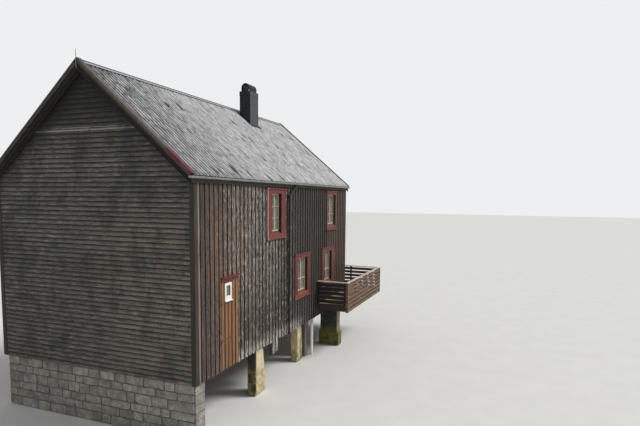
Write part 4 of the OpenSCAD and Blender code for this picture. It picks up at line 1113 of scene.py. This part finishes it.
# A box round the chimney's shaft, wider than it by out on every side
def ring(name, out, low, high):
    return block(name, (x0 - out, y0 - out, low), (x1 + out, y1 + out, high))


seams = []
for down in stack["seamDown"]:
    seams.append(ring("seam", stack["seamOut"], top - down, top - down + stack["seam"]))
corner = stack["corner"]
for x in (x0, x1):
    for y in (y0, y1):
        foot = roofAt(x, stack["cornerFrom"])
        seams.append(block("seam", (x - corner, y - corner, foot), (x + corner, y + corner, top)))
crest = (roofing["deck"] + sheetHeight + 2 * sheetThick + stack["clear"]) / math.cos(slope)
upstand = ring("upstand", stack["upstandOut"], 0, 1)
for v in upstand.data.vertices:
    v.co.z = roofAt(v.co.x, crest - stack["upstandIn"] + stack["upstand"] * v.co.z)
apron = ring("apron", stack["flash"], 0, 1)
shape(apron, "EDGE", lambda a, b: along(a, b, 0), bpy.ops.mesh.subdivide, number_cuts=3)
for v in apron.data.vertices:
    v.co.z = roofAt(v.co.x, crest + stack["sheet"] * v.co.z)
seamwork = joined("chimney_seams", [*seams, upstand, apron])
modify(seamwork, "BEVEL", width=stack["edge"], segments=2, limit_method="ANGLE")
settle(seamwork, finishes["darkSheet"])
print("gutters and chimney done")

# The balcony's deck: boards along the side, then boards in two lengths along the sea end. The two lengths
# meet somewhere in the stretch called joint
decking = {
    "wide": 0.12, "gap": 0.006, "thick": 0.028, "start": 3.531, "turn": 0.06, "rim": 0.045, "clear": 0.002,
    "uneven": 0.004, "joint": (-1.5, 2.5), "jointGap": 0.003, "stripHalf": 3.41, "strip": 0.0525, "seed": 5,
}
deckLow, deckHigh = houseBox("balcony_deck")
plank = block("plank", (0, 0, 0), (1, 1, 1))
shape(plank, "EDGE", lambda a, b: a.z > 0.9 and b.z > 0.9, bpy.ops.mesh.bevel, offset=0.02, segments=1)
chance.seed(decking["seed"])
planks = []
halfGap, under = decking["gap"] / 2, deckHigh.z - decking["thick"]


def layPlank(x, y, endX, endY):
    copyOf(plank, placed((x, y, under), (endX - x, endY - y, decking["thick"])), planks)


# Where each board in a row starts and ends
def deckRow(start, end):
    count = round((end - start) / (decking["wide"] + decking["gap"]))
    wide = (end - start) / count
    return [(start + wide * i + halfGap, start + wide * (i + 1) - halfGap) for i in range(count)]


turnAt = houseLength + decking["turn"]
nearEnd = houseBox("balcony_rim")[0].y + decking["rim"] + decking["clear"]
for start, end in deckRow(decking["start"], deckHigh.x):
    layPlank(start, nearEnd, end, turnAt - decking["gap"] - vary(0, decking["uneven"]))
for start, end in deckRow(turnAt, deckHigh.y):
    joint = vary(*decking["joint"])
    layPlank(deckLow.x, start, joint, end)
    layPlank(joint + decking["jointGap"], start, deckHigh.x, end)
# A strip under the sea door, between the wall and the turn
strip = decking["stripHalf"]
layPlank(-strip, houseLength + decking["strip"], strip, turnAt - decking["clear"])
bpy.data.objects.remove(plank)
settle(joined("deck_boards", planks), finishes["floorPine"], stands=["balcony_deck"])

# Trim boards that close the railing's outer corners
trim = {"thick": 0.018, "wide": 0.08}
railLow, railHigh = houseBox("side_railing")
railTop = houseBox("top_rail")[0].z
outer = railHigh.x + trim["thick"]
trims = []
for y, way in ((houseBox("end_railings")[0].y, -1), (railHigh.y, 1)):
    for x, reach in ((railHigh.x - trim["wide"], way * trim["thick"]), (railHigh.x, -way * trim["wide"])):
        low, high = min(y, y + reach), max(y, y + reach)
        trims.append(block("trim", (x, low, railLow.z), (outer, high, railTop)))
settle(joined("railing_trims", trims), finishes["railPine"])
print("balcony done")

low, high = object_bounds()
print("scene done")
